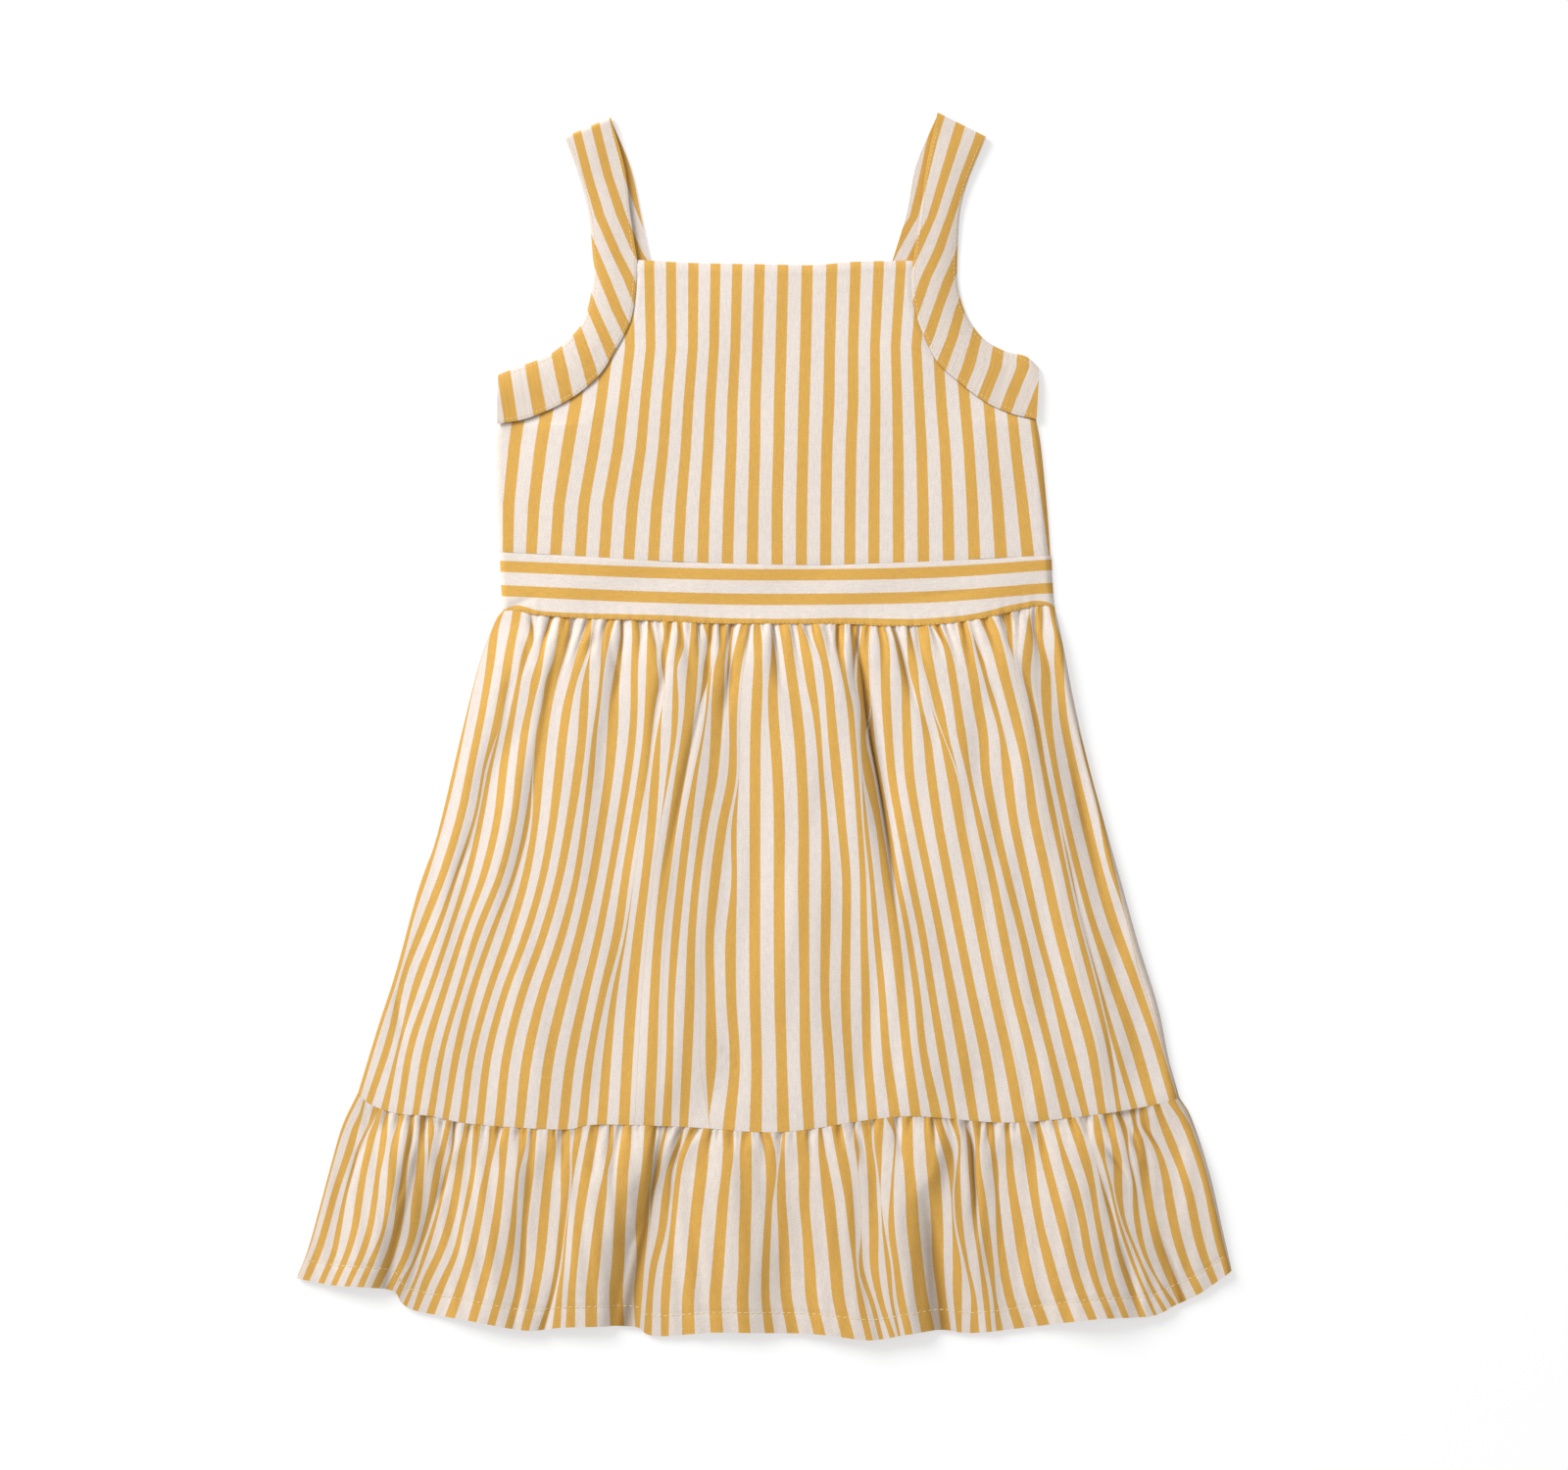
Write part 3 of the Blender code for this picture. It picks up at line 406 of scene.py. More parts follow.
        (1434, 1422, 1411, 1396, 1391, 1419, 1453, 1487, 1537, 1605, 1670, 1755, 1848, 1897),
        (1434, 1442, 1453, 1451, 1436, 1447, 1485, 1514, 1570, 1631, 1699, 1787, 1871, 1922),
    ),
    (
        (1435, 1452, 1459, 1466, 1466, 1470, 1496, 1529, 1585, 1643, 1715, 1798, 1884, 1970),
        (1435, 1452, 1459, 1466, 1466, 1470, 1496, 1529, 1585, 1653, 1715, 1809, 1914, 2003),
    ),
    (
        (1469, 1464, 1466, 1482, 1496, 1494, 1509, 1544, 1600, 1669, 1750, 1853, 1971, 2057),
        (1504, 1508, 1503, 1514, 1543, 1550, 1554, 1578, 1634, 1705, 1786, 1902, 2026, 2110),
    ),
    (
        (1543, 1554, 1570, 1568, 1567, 1579, 1596, 1634, 1692, 1763, 1845, 1965, 2091, 2176),
        (1574, 1574, 1604, 1618, 1619, 1623, 1640, 1679, 1745, 1817, 1901, 2014, 2130, 2218),
    ),
    (
        (1579, 1591, 1608, 1623, 1639, 1656, 1687, 1728, 1799, 1849, 1947, 2027, 2140, 2228),
        (1579, 1591, 1608, 1623, 1639, 1656, 1687, 1745, 1815, 1881, 1947, 2027, 2140, 2228),
    ),
)

# Mustard stripes of the ruffle, in the same way
RUFFLE_LEVELS = (0.032, 0.078, 0.136, 0.218, 0.334, 0.497, 0.684, 0.835, 0.963)
RUFFLE_STRIPES = (
    (
        (-2224, -2248, -2275, -2305, -2338, -2381, -2430, -2472, -2519),
        (-2206, -2229, -2257, -2288, -2322, -2366, -2416, -2461, -2514),
    ),
    (
        (-2179, -2194, -2225, -2251, -2285, -2336, -2387, -2433, -2485),
        (-2167, -2177, -2196, -2215, -2251, -2303, -2351, -2394, -2447),
    ),
    (
        (-2125, -2138, -2160, -2198, -2230, -2274, -2315, -2346, -2398),
        (-2100, -2118, -2148, -2184, -2216, -2256, -2286, -2316, -2366),
    ),
    (
        (-2098, -2110, -2139, -2157, -2181, -2208, -2235, -2277, -2329),
        (-2074, -2085, -2101, -2119, -2145, -2169, -2198, -2243, -2297),
    ),
    (
        (-2054, -2067, -2075, -2085, -2099, -2121, -2153, -2202, -2254),
        (-2035, -2037, -2040, -2049, -2073, -2089, -2117, -2164, -2223),
    ),
    (
        (-1985, -1990, -2009, -2023, -2032, -2044, -2070, -2131, -2184),
        (-1953, -1966, -1973, -1981, -1989, -2013, -2050, -2098, -2149),
    ),
    (
        (-1917, -1925, -1933, -1946, -1959, -1984, -2010, -2055, -2108),
        (-1894, -1897, -1906, -1917, -1931, -1941, -1967, -2010, -2066),
    ),
    (
        (-1861, -1865, -1869, -1874, -1884, -1908, -1925, -1973, -2030),
        (-1835, -1837, -1837, -1835, -1841, -1853, -1892, -1941, -1997),
    ),
    (
        (-1818, -1820, -1818, -1816, -1827, -1844, -1886, -1936, -1991),
        (-1790, -1784, -1796, -1810, -1827, -1844, -1886, -1936, -1991),
    ),
    (
        (-1726, -1737, -1749, -1774, -1798, -1825, -1873, -1925, -1980),
        (-1697, -1707, -1721, -1741, -1761, -1798, -1856, -1915, -1963),
    ),
    (
        (-1684, -1686, -1693, -1717, -1744, -1781, -1841, -1887, -1941),
        (-1674, -1677, -1681, -1698, -1725, -1764, -1818, -1872, -1922),
    ),
    (
        (-1625, -1635, -1652, -1665, -1684, -1718, -1779, -1849, -1891),
        (-1597, -1603, -1614, -1626, -1642, -1674, -1736, -1807, -1860),
    ),
    (
        (-1576, -1577, -1581, -1586, -1606, -1641, -1690, -1762, -1815),
        (-1536, -1544, -1551, -1560, -1578, -1617, -1659, -1721, -1771),
    ),
    (
        (-1486, -1489, -1497, -1511, -1539, -1568, -1614, -1664, -1713),
        (-1439, -1447, -1461, -1481, -1500, -1527, -1570, -1616, -1661),
    ),
    (
        (-1420, -1431, -1433, -1433, -1448, -1473, -1512, -1553, -1590),
        (-1380, -1386, -1391, -1400, -1409, -1428, -1465, -1505, -1544),
    ),
    (
        (-1328, -1328, -1331, -1341, -1354, -1374, -1410, -1447, -1485),
        (-1282, -1286, -1301, -1323, -1332, -1342, -1366, -1405, -1444),
    ),
    (
        (-1264, -1268, -1277, -1288, -1299, -1312, -1328, -1352, -1391),
        (-1233, -1235, -1240, -1246, -1262, -1282, -1293, -1314, -1352),
    ),
    (
        (-1171, -1176, -1182, -1192, -1206, -1223, -1243, -1272, -1306),
        (-1127, -1126, -1130, -1142, -1156, -1170, -1194, -1226, -1262),
    ),
    (
        (-1095, -1099, -1099, -1100, -1099, -1112, -1133, -1163, -1210),
        (-1051, -1051, -1051, -1050, -1058, -1076, -1106, -1139, -1179),
    ),
    (
        (-1027, -1033, -1039, -1039, -1045, -1073, -1094, -1123, -1141),
        (-988, -995, -1008, -1025, -1045, -1063, -1079, -1092, -1099),
    ),
    (
        (-949, -959, -971, -987, -1008, -1030, -1046, -1062, -1071),
        (-898, -905, -916, -931, -954, -982, -1008, -1020, -1022),
    ),
    (
        (-838, -840, -851, -864, -893, -922, -947, -964, -966),
        (-815, -816, -821, -844, -850, -869, -887, -903, -904),
    ),
    (
        (-768, -777, -785, -794, -801, -811, -823, -838, -834),
        (-719, -720, -723, -734, -739, -750, -758, -766, -761),
    ),
    (
        (-648, -651, -654, -663, -681, -697, -690, -707, -700),
        (-585, -590, -600, -606, -622, -628, -648, -660, -671),
    ),
    (
        (-545, -560, -572, -590, -612, -618, -643, -655, -666),
        (-530, -542, -553, -566, -597, -618, -643, -655, -666),
    ),
    (
        (-453, -474, -501, -530, -554, -574, -619, -637, -649),
        (-441, -451, -474, -501, -510, -532, -584, -604, -609),
    ),
    (
        (-417, -437, -462, -478, -494, -512, -546, -560, -559),
        (-374, -399, -427, -449, -464, -483, -500, -513, -517),
    ),
    (
        (-340, -353, -363, -373, -390, -408, -426, -445, -444),
        (-289, -297, -302, -310, -326, -345, -363, -381, -377),
    ),
    (
        (-224, -222, -225, -231, -249, -266, -282, -298, -292),
        (-167, -165, -168, -181, -193, -206, -220, -233, -225),
    ),
    ((-127, -132, -133, -130, -130, -137, -140, -149, -140), (-71, -69, -69, -68, -69, -74, -78, -87, -78)),
    ((-16, -1, 6, 11, 9, -3, -14, -15, -1), (43, 56, 64, 64, 46, 36, 28, 29, 48)),
    ((96, 91, 85, 73, 68, 76, 82, 91, 117), (112, 109, 111, 113, 116, 130, 140, 150, 179)),
    ((175, 178, 182, 186, 188, 205, 216, 226, 258), (237, 239, 244, 246, 242, 256, 276, 288, 321)),
    ((292, 291, 295, 303, 315, 335, 354, 372, 408), (314, 323, 334, 354, 377, 396, 419, 437, 476)),
    ((368, 377, 389, 407, 433, 455, 485, 506, 540), (424, 433, 446, 465, 479, 491, 502, 542, 577)),
    ((483, 483, 494, 505, 515, 524, 506, 554, 591), (492, 500, 516, 505, 515, 524, 506, 554, 591)),
    ((496, 504, 519, 506, 516, 525, 513, 571, 610), (496, 504, 519, 506, 516, 525, 539, 597, 634)),
    ((529, 539, 549, 557, 563, 567, 574, 617, 665), (578, 581, 586, 602, 608, 617, 618, 648, 694)),
    ((591, 592, 599, 613, 627, 637, 658, 680, 713), (645, 641, 636, 633, 627, 649, 685, 697, 728)),
    ((679, 707, 702, 694, 681, 669, 698, 718, 751), (704, 713, 712, 704, 697, 703, 731, 759, 792)),
    ((745, 746, 739, 753, 762, 769, 794, 813, 841), (802, 802, 803, 807, 823, 836, 859, 882, 913)),
    ((863, 863, 869, 876, 888, 903, 912, 935, 952), (912, 921, 920, 945, 956, 967, 971, 982, 1004)),
    (
        (923, 938, 960, 985, 1006, 1016, 1020, 1022, 1037),
        (967, 982, 1012, 1027, 1016, 1026, 1066, 1069, 1068),
    ),
    (
        (1016, 1039, 1051, 1041, 1028, 1039, 1088, 1119, 1114),
        (1047, 1059, 1062, 1058, 1062, 1074, 1106, 1147, 1160),
    ),
    (
        (1088, 1094, 1100, 1104, 1114, 1130, 1162, 1182, 1198),
        (1092, 1116, 1125, 1132, 1141, 1153, 1183, 1215, 1227),
    ),
    (
        (1130, 1138, 1143, 1140, 1150, 1169, 1206, 1237, 1251),
        (1171, 1168, 1163, 1169, 1192, 1217, 1242, 1255, 1284),
    ),
    (
        (1202, 1206, 1224, 1234, 1249, 1254, 1269, 1299, 1341),
        (1241, 1246, 1249, 1266, 1269, 1285, 1315, 1348, 1393),
    ),
    (
        (1298, 1302, 1305, 1308, 1320, 1345, 1378, 1419, 1467),
        (1326, 1329, 1339, 1348, 1366, 1401, 1438, 1477, 1527),
    ),
    (
        (1382, 1389, 1402, 1414, 1433, 1465, 1509, 1553, 1604),
        (1425, 1442, 1456, 1468, 1480, 1508, 1563, 1610, 1661),
    ),
    (
        (1468, 1477, 1484, 1504, 1535, 1580, 1632, 1677, 1734),
        (1496, 1511, 1527, 1549, 1582, 1629, 1677, 1725, 1780),
    ),
    (
        (1565, 1576, 1592, 1612, 1648, 1694, 1731, 1780, 1838),
        (1589, 1600, 1618, 1651, 1694, 1736, 1774, 1818, 1875),
    ),
    (
        (1647, 1663, 1683, 1711, 1750, 1780, 1821, 1861, 1919),
        (1696, 1719, 1736, 1762, 1786, 1812, 1857, 1900, 1955),
    ),
    (
        (1732, 1745, 1761, 1789, 1816, 1860, 1903, 1955, 2011),
        (1732, 1745, 1761, 1789, 1827, 1885, 1931, 1991, 2048),
    ),
    (
        (1780, 1780, 1794, 1825, 1860, 1900, 1964, 2028, 2088),
        (1812, 1826, 1834, 1842, 1873, 1914, 1983, 2046, 2106),
    ),
    (
        (1842, 1855, 1872, 1885, 1887, 1925, 2003, 2070, 2138),
        (1887, 1897, 1908, 1931, 1932, 1947, 2020, 2090, 2159),
    ),
    (
        (1911, 1931, 1947, 1964, 1989, 1994, 2040, 2120, 2185),
        (1937, 1961, 1968, 1970, 2004, 2026, 2065, 2131, 2209),
    ),
    (
        (1984, 2001, 1991, 2012, 2033, 2064, 2111, 2169, 2225),
        (2008, 2015, 2044, 2062, 2081, 2107, 2156, 2211, 2268),
    ),
    (
        (2030, 2033, 2068, 2113, 2145, 2170, 2212, 2265, 2322),
        (2073, 2085, 2093, 2141, 2184, 2218, 2258, 2305, 2360),
    ),
    (
        (2114, 2132, 2152, 2184, 2233, 2279, 2316, 2359, 2409),
        (2152, 2170, 2196, 2230, 2270, 2321, 2360, 2398, 2442),
    ),
    (
        (2203, 2235, 2261, 2293, 2333, 2378, 2414, 2448, 2484),
        (2238, 2264, 2298, 2327, 2366, 2408, 2451, 2484, 2517),
    ),
)

# Middles of the bodice's mustard stripes, from the left: places across at these places up
BODICE_LEVELS = (92.0, 120.0, 150.0, 175.0, 205.0, 247.0)
BODICE_STRIPES = (
    (-138.8, -138.4, -135.4, -132.0, -128.0, -126.0),
    (-126.3, -124.7, -121.2, -117.0, -113.0, -111.0),
    (-113.0, -111.0, -106.3, -101.9, -98.0, -98.0),
    (-99.5, -97.6, -92.1, -88.2, -84.5, -86.0),
    (-86.6, -84.6, -79.2, -76.1, -72.6, -74.0),
    (-73.4, -71.2, -66.7, -64.6, -61.5, -62.3),
    (-59.9, -58.1, -54.7, -52.8, -50.2, -50.5),
    (-46.7, -45.0, -42.5, -41.0, -38.6, -38.4),
    (-33.2, -32.4, -30.4, -29.2, -27.2, -26.4),
    (-19.9, -19.1, -17.9, -17.3, -15.7, -14.7),
    (-6.5, -6.0, -5.1, -5.0, -3.9, -2.6),
    (7.0, 6.9, 7.8, 8.2, 9.0, 10.0),
    (20.0, 20.2, 20.9, 21.5, 22.4, 23.2),
    (33.2, 33.4, 33.8, 34.9, 35.4, 36.6),
    (46.2, 46.4, 46.9, 48.1, 48.1, 49.4),
    (59.2, 59.4, 59.7, 60.2, 59.9, 62.0),
    (72.6, 72.5, 72.4, 71.9, 70.9, 73.8),
    (86.1, 85.8, 85.1, 83.8, 82.2, 85.6),
    (99.7, 99.2, 97.8, 95.6, 94.0, 97.0),
    (113.5, 112.5, 110.7, 108.5, 106.0, 108.0),
    (128.0, 126.1, 123.5, 121.5, 119.0, 120.0),
    (142.7, 139.7, 136.0, 133.5, 131.0, 132.0),
)

# Stripes along the straps and bands: place up, place across of one stripe's middle, pitch across
LEFT_BAND_STRIPES = (
    (329.0, -103.3, 10.9), (315.7, -100.1, 10.9), (297.2, -95.3, 10.9), (276.0, -89.0, 11.7),
    (257.4, -81.0, 11.7), (241.5, -73.1, 13.2), (225.6, -66.7, 13.2), (209.7, -58.2, 13.9),
    (193.8, -47.9, 15.6), (177.9, -42.9, 16.0), (164.7, -38.6, 16.4),
)
RIGHT_BAND_STRIPES = (
    (332.2, 120.9, 12.7), (315.7, 115.6, 12.5), (297.2, 108.2, 10.9), (276.0, 100.8, 9.9),
    (257.4, 94.4, 12.2), (241.5, 87.0, 12.7), (225.6, 81.7, 12.2), (209.7, 75.6, 13.0),
    (193.8, 65.8, 14.8), (177.9, 59.4, 14.8), (164.7, 54.1, 14.8),
)

# Slanting pulls in the waistband: place across and up of the middle, slope, depth, half width, half length
WAISTBAND_PULLS = ((-133.0, 66.16, 0.42, 0.8, 1.7, 8.0), (96.0, 71.1, 0.10, 0.5, 1.6, 16.0))

# The waistband's stripes run across: place across, place up of the second stripe, pitch up
WAISTBAND_STRIPES = (
    (-142.0, 73.2, 13.2), (-60.0, 69.6, 13.3), (10.0, 68.4, 13.3), (90.0, 69.8, 13.2), (155.0, 74.6, 12.6),
)

# Upper edge of the lowest stripe, which is partly turned under into the seam: place across, place up
WAISTBAND_LOWEST = (
    (-142.0, 62.8), (-140.4, 63.2), (-134.1, 65.4), (-128.4, 64.1), (-122.1, 62.3), (-111.5, 61.4),
    (-94.7, 60.7), (-73.6, 60.3), (-48.3, 59.6), (-27.2, 58.4), (0.0, 57.8), (21.8, 57.9), (43.5, 58.3),
    (65.2, 57.9), (81.6, 57.7), (97.9, 58.7), (108.8, 59.8), (119.6, 61.8), (130.5, 64.7), (141.4, 67.0),
    (146.3, 67.9), (152.3, 67.3), (155.5, 65.8), (158.0, 63.5),
)

# Creases of the skirt. Each is a path down the cloth, and each point of it has its place across, its place
# up, the crease's depth and half its width there, in tenths of a millimetre.
SKIRT_CREASES = (
    (
        (-1086, 579, 8, 30), (-1161, 215, 10, 22), (-1208, -67, 8, 24), (-1253, -339, 7, 21),
        (-1292, -611, 9, 22), (-1369, -881, 10, 22), (-1476, -1144, 7, 24),
    ),
    (
        (-264, 430, 9, 13), (-296, 280, 13, 14), (-340, 120, 14, 15), (-392, -90, 15, 17),
        (-448, -360, 16, 20), (-505, -640, 14, 21), (-560, -910, 8, 18), (-606, -1180, 4, 16),
    ),
    (
        (1299, 526, 6, 21), (1413, 250, 7, 17), (1482, -33, 11, 27), (1533, -296, 6, 21),
        (1597, -581, 6, 20), (1647, -847, 8, 22), (1710, -1132, 7, 24),
    ),
    (
        (-168, 540, 14, 17), (-179, 406, 14, 17), (-188, 272, 19, 27), (-212, 138, 20, 31),
        (-229, 5, 9, 20), (-240, -129, 10, 22), (-253, -263, 4, 14),
    ),
    (
        (-565, 493, 6, 22), (-540, 329, 15, 25), (-584, 110, 16, 26), (-604, -50, 12, 20),
        (-622, -210, 10, 18), (-647, -370, 7, 17), (-681, -530, 4, 14),
    ),
    (
        (1615, 35, 5, 18), (1670, -207, 14, 29), (1715, -445, 13, 25), (1770, -664, 10, 24),
        (1820, -885, 7, 20), (1887, -1102, 6, 16), (1970, -1338, 4, 16),
    ),
    (
        (1606, -512, 3, 13), (1651, -737, 6, 14), (1698, -962, 7, 16), (1763, -1206, 6, 17),
        (1826, -1430, 6, 14), (1885, -1653, 7, 18), (1958, -1933, 7, 27),
    ),
    (
        (700, 530, 7, 14), (731, 421, 14, 20), (761, 312, 18, 22), (791, 203, 13, 22), (823, 94, 6, 21),
        (903, -56, 14, 35), (923, -223, 6, 21),
    ),
    (
        (1410, 598, 4, 21), (1477, 482, 8, 27), (1512, 385, 8, 25), (1547, 268, 7, 33),
        (1566, 129, 5, 30), (1580, 9, 2, 17),
    ),
    (
        (1120, 550, 7, 20), (1162, 398, 15, 20), (1197, 287, 6, 20), (1240, 157, 13, 31),
        (1269, 46, 10, 22), (1292, -69, 8, 26),
    ),
    (
        (-1582, -459, 5, 18), (-1588, -612, 8, 20), (-1626, -719, 8, 17), (-1668, -828, 7, 17),
        (-1709, -956, 7, 24), (-1742, -1085, 5, 20), (-1772, -1192, 6, 24),
    ),
    ((-770, 564, 8, 14), (-766, 482, 10, 14), (-772, 400, 13, 16), (-779, 318, 13, 18)),
    (
        (-846, 568, 8, 17), (-830, 399, 6, 20), (-789, 253, 12, 20), (-811, 160, 11, 20),
        (-820, 67, 8, 22), (-844, -26, 8, 31),
    ),
    ((402, 536, 5, 16), (402, 437, 16, 17), (423, 358, 13, 17), (438, 279, 11, 17)),
    ((-347, 543, 8, 14), (-317, 442, 11, 26), (-308, 281, 16, 26), (-324, 181, 14, 31), (-346, 81, 6, 20)),
    (
        (1836, -1566, 7, 18), (1861, -1684, 8, 20), (1881, -1803, 7, 18), (1902, -1921, 8, 18),
        (1917, -2042, 8, 20),
    ),
    ((49, 538, 5, 14), (56, 410, 14, 17), (73, 281, 10, 29), (82, 153, 10, 40)),
    ((-914, 571, 6, 17), (-922, 475, 14, 24), (-951, 401, 20, 27), (-968, 327, 16, 26)),
    ((-1148, 581, 14, 17), (-1172, 501, 13, 16), (-1195, 422, 10, 27)),
    ((-1035, 576, 5, 13), (-1050, 484, 12, 18), (-1081, 394, 19, 22)),
    ((-277, 541, 7, 16), (-285, 461, 13, 16), (-293, 381, 16, 24)),
    ((-447, 547, 5, 14), (-426, 418, 12, 30), (-400, 270, 7, 22), (-412, 143, 5, 17)),
    ((794, 527, 7, 21), (839, 414, 8, 24), (879, 302, 6, 17), (910, 190, 5, 17)),
    ((1305, 588, 10, 17), (1341, 501, 12, 18), (1415, 418, 12, 34)),
    ((-1357, 309, 15, 35), (-1382, 203, 9, 27), (-1403, 36, 5, 14), (-1420, -71, 6, 20)),
    ((-1258, 587, 5, 14), (-1249, 525, 13, 17), (-1243, 464, 19, 25)),
    ((-1291, 508, 6, 25), (-1287, 359, 12, 25), (-1308, 279, 7, 17), (-1316, 206, 6, 22)),
    ((-948, 572, 7, 14), (-959, 511, 8, 14), (-976, 450, 4, 14)),
    ((232, 537, 9, 18), (250, 477, 9, 16), (274, 417, 4, 14)),
    ((-233, 541, 7, 14), (-227, 470, 9, 20), (-235, 380, 7, 26)),
    ((-675, 560, 8, 24), (-668, 467, 5, 16), (-681, 375, 4, 14)),
    ((930, 527, 7, 16), (963, 478, 9, 18), (1006, 412, 7, 22)),
    (
        (-370, -1586, 3, 16), (-280, -1690, 6, 18), (-180, -1800, 8, 20), (-80, -1910, 7, 18),
        (0, -2010, 4, 16),
    ),
    (
        (-1985, -1290, 6, 10), (-2002, -1400, 12, 12), (-1985, -1550, 10, 12), (-1960, -1700, 8, 12),
        (-1935, -1850, 6, 12), (-1912, -1990, 5, 12),
    ),
)

# Creases of the ruffle, in the same way
RUFFLE_CREASES = (
    (
        (1094, -2139, 16, 12), (1125, -2278, 44, 15), (1133, -2418, 39, 16), (1142, -2558, 28, 18),
        (1143, -2699, 18, 30), (1144, -2840, 8, 20), (1157, -2981, 7, 21),
    ),
    (
        (-1903, -2109, 10, 14), (-1907, -2232, 20, 18), (-1932, -2354, 13, 17), (-1955, -2476, 13, 25),
        (-1995, -2598, 8, 14), (-2024, -2720, 9, 17), (-2070, -2891, 6, 17),
    ),
    (
        (-435, -2175, 9, 14), (-466, -2296, 21, 20), (-503, -2417, 21, 20), (-515, -2538, 16, 30),
        (-545, -2697, 10, 29), (-580, -2834, 5, 17),
    ),
    (
        (-1720, -2289, 9, 20), (-1729, -2462, 20, 20), (-1776, -2587, 9, 17), (-1826, -2727, 10, 17),
        (-1874, -2855, 5, 14), (-1925, -2966, 5, 13), (-1972, -3065, 9, 17),
    ),
    (
        (-1054, -2434, 5, 14), (-1058, -2562, 9, 22), (-1089, -2732, 9, 22), (-1102, -2861, 10, 24),
        (-1123, -2992, 12, 22), (-1154, -3123, 12, 20), (-1192, -3255, 17, 27),
    ),
    (
        (1763, -2216, 9, 18), (1801, -2356, 10, 22), (1839, -2494, 10, 17), (1876, -2632, 12, 17),
        (1920, -2796, 10, 22), (1967, -2948, 14, 25), (2035, -3184, 8, 20),
    ),
    (
        (-1228, -2185, 8, 17), (-1264, -2354, 8, 20), (-1272, -2504, 10, 27), (-1288, -2655, 7, 20),
        (-1302, -2864, 10, 27), (-1318, -3016, 10, 27), (-1350, -3226, 7, 20),
    ),
    (
        (-2152, -2036, 5, 12), (-2160, -2236, 9, 20), (-2205, -2346, 8, 17), (-2237, -2459, 8, 14),
        (-2265, -2573, 6, 14), (-2286, -2687, 8, 20), (-2301, -2838, 8, 22),
    ),
    (
        (1245, -2248, 9, 20), (1258, -2372, 9, 20), (1264, -2502, 7, 16), (1277, -2640, 9, 18),
        (1283, -2764, 12, 25), (1283, -2910, 5, 17), (1308, -3053, 6, 20),
    ),
    (
        (1925, -2093, 22, 27), (1956, -2224, 6, 17), (1981, -2355, 10, 17), (2008, -2485, 14, 17),
        (2025, -2618, 14, 25), (2025, -2749, 12, 25),
    ),
    ((2044, -2072, 9, 20), (2062, -2177, 22, 17), (2124, -2271, 27, 20), (2153, -2370, 9, 22)),
    (
        (1795, -2193, 14, 22), (1851, -2293, 21, 21), (1921, -2391, 20, 25), (1970, -2490, 10, 21),
        (1976, -2595, 9, 21),
    ),
    ((-1667, -2146, 9, 14), (-1677, -2250, 12, 14), (-1694, -2352, 20, 17)),
    (
        (2128, -2681, 10, 22), (2160, -2810, 12, 25), (2195, -2899, 20, 30), (2234, -3023, 24, 33),
        (2261, -3112, 33, 30),
    ),
    (
        (-783, -2163, 8, 25), (-806, -2280, 14, 27), (-817, -2397, 9, 20), (-819, -2513, 8, 21),
        (-795, -2670, 7, 21),
    ),
    (
        (1996, -2081, 16, 22), (2016, -2174, 10, 16), (2056, -2262, 8, 17), (2080, -2415, 16, 25),
        (2105, -2547, 14, 34),
    ),
    ((1966, -2148, 10, 17), (2001, -2255, 20, 20), (2047, -2357, 26, 29)),
    (
        (-889, -2163, 13, 33), (-912, -2289, 9, 20), (-929, -2397, 10, 27), (-951, -2505, 6, 17),
        (-967, -2612, 5, 16),
    ),
    ((719, -2121, 7, 18), (722, -2220, 12, 17), (739, -2317, 15, 27), (747, -2436, 7, 24)),
    ((1477, -2145, 15, 18), (1495, -2223, 16, 18), (1510, -2301, 14, 21), (1525, -2379, 10, 25)),
    ((-1078, -2189, 10, 18), (-1080, -2273, 10, 17), (-1086, -2356, 8, 17), (-1107, -2442, 8, 26)),
    ((945, -2124, 8, 17), (1002, -2252, 10, 29), (1029, -2378, 8, 20), (1018, -2480, 5, 14)),
    ((1223, -2149, 14, 22), (1208, -2246, 10, 17), (1221, -2347, 5, 17)),
    ((-2035, -2090, 12, 18), (-2052, -2161, 13, 17), (-2061, -2232, 9, 21)),
    ((486, -2151, 6, 14), (513, -2240, 14, 30), (538, -2351, 13, 33), (556, -2441, 12, 40)),
)

# The deepest folds, whose left wall is steep and whose right wall is broad. Each point of a fold's floor
# has its place across, its place up, the depth, and half the width to the left and to the right, in tenths
# of a millimetre.
SKIRT_DEEP_FOLDS = (
    (
        (478, 520, 12, 9, 24), (505, 428, 22, 10, 30), (530, 269, 36, 13, 40), (562, 4, 58, 15, 46),
        (620, -314, 58, 16, 46), (662, -579, 54, 15, 42), (695, -844, 44, 13, 38), (720, -1080, 20, 12, 34),
        (742, -1320, 5, 12, 30),
    ),
)
RUFFLE_DEEP_FOLDS = (
    (
        (-560, -2190, 20, 16, 40), (-597, -2434, 30, 26, 60), (-643, -2700, 36, 38, 80),
        (-703, -2965, 40, 54, 90), (-755, -3230, 42, 76, 90),
    ),
    (
        (850, -2400, 8, 30, 60), (880, -2600, 18, 48, 70), (900, -2790, 26, 62, 80),
        (925, -3020, 32, 78, 80), (950, -3230, 36, 88, 80),
    ),
    (
        (-1840, -2140, 14, 20, 50), (-1915, -2488, 20, 30, 50), (-1985, -2750, 20, 34, 50),
        (-2050, -3020, 20, 36, 50),
    ),
)

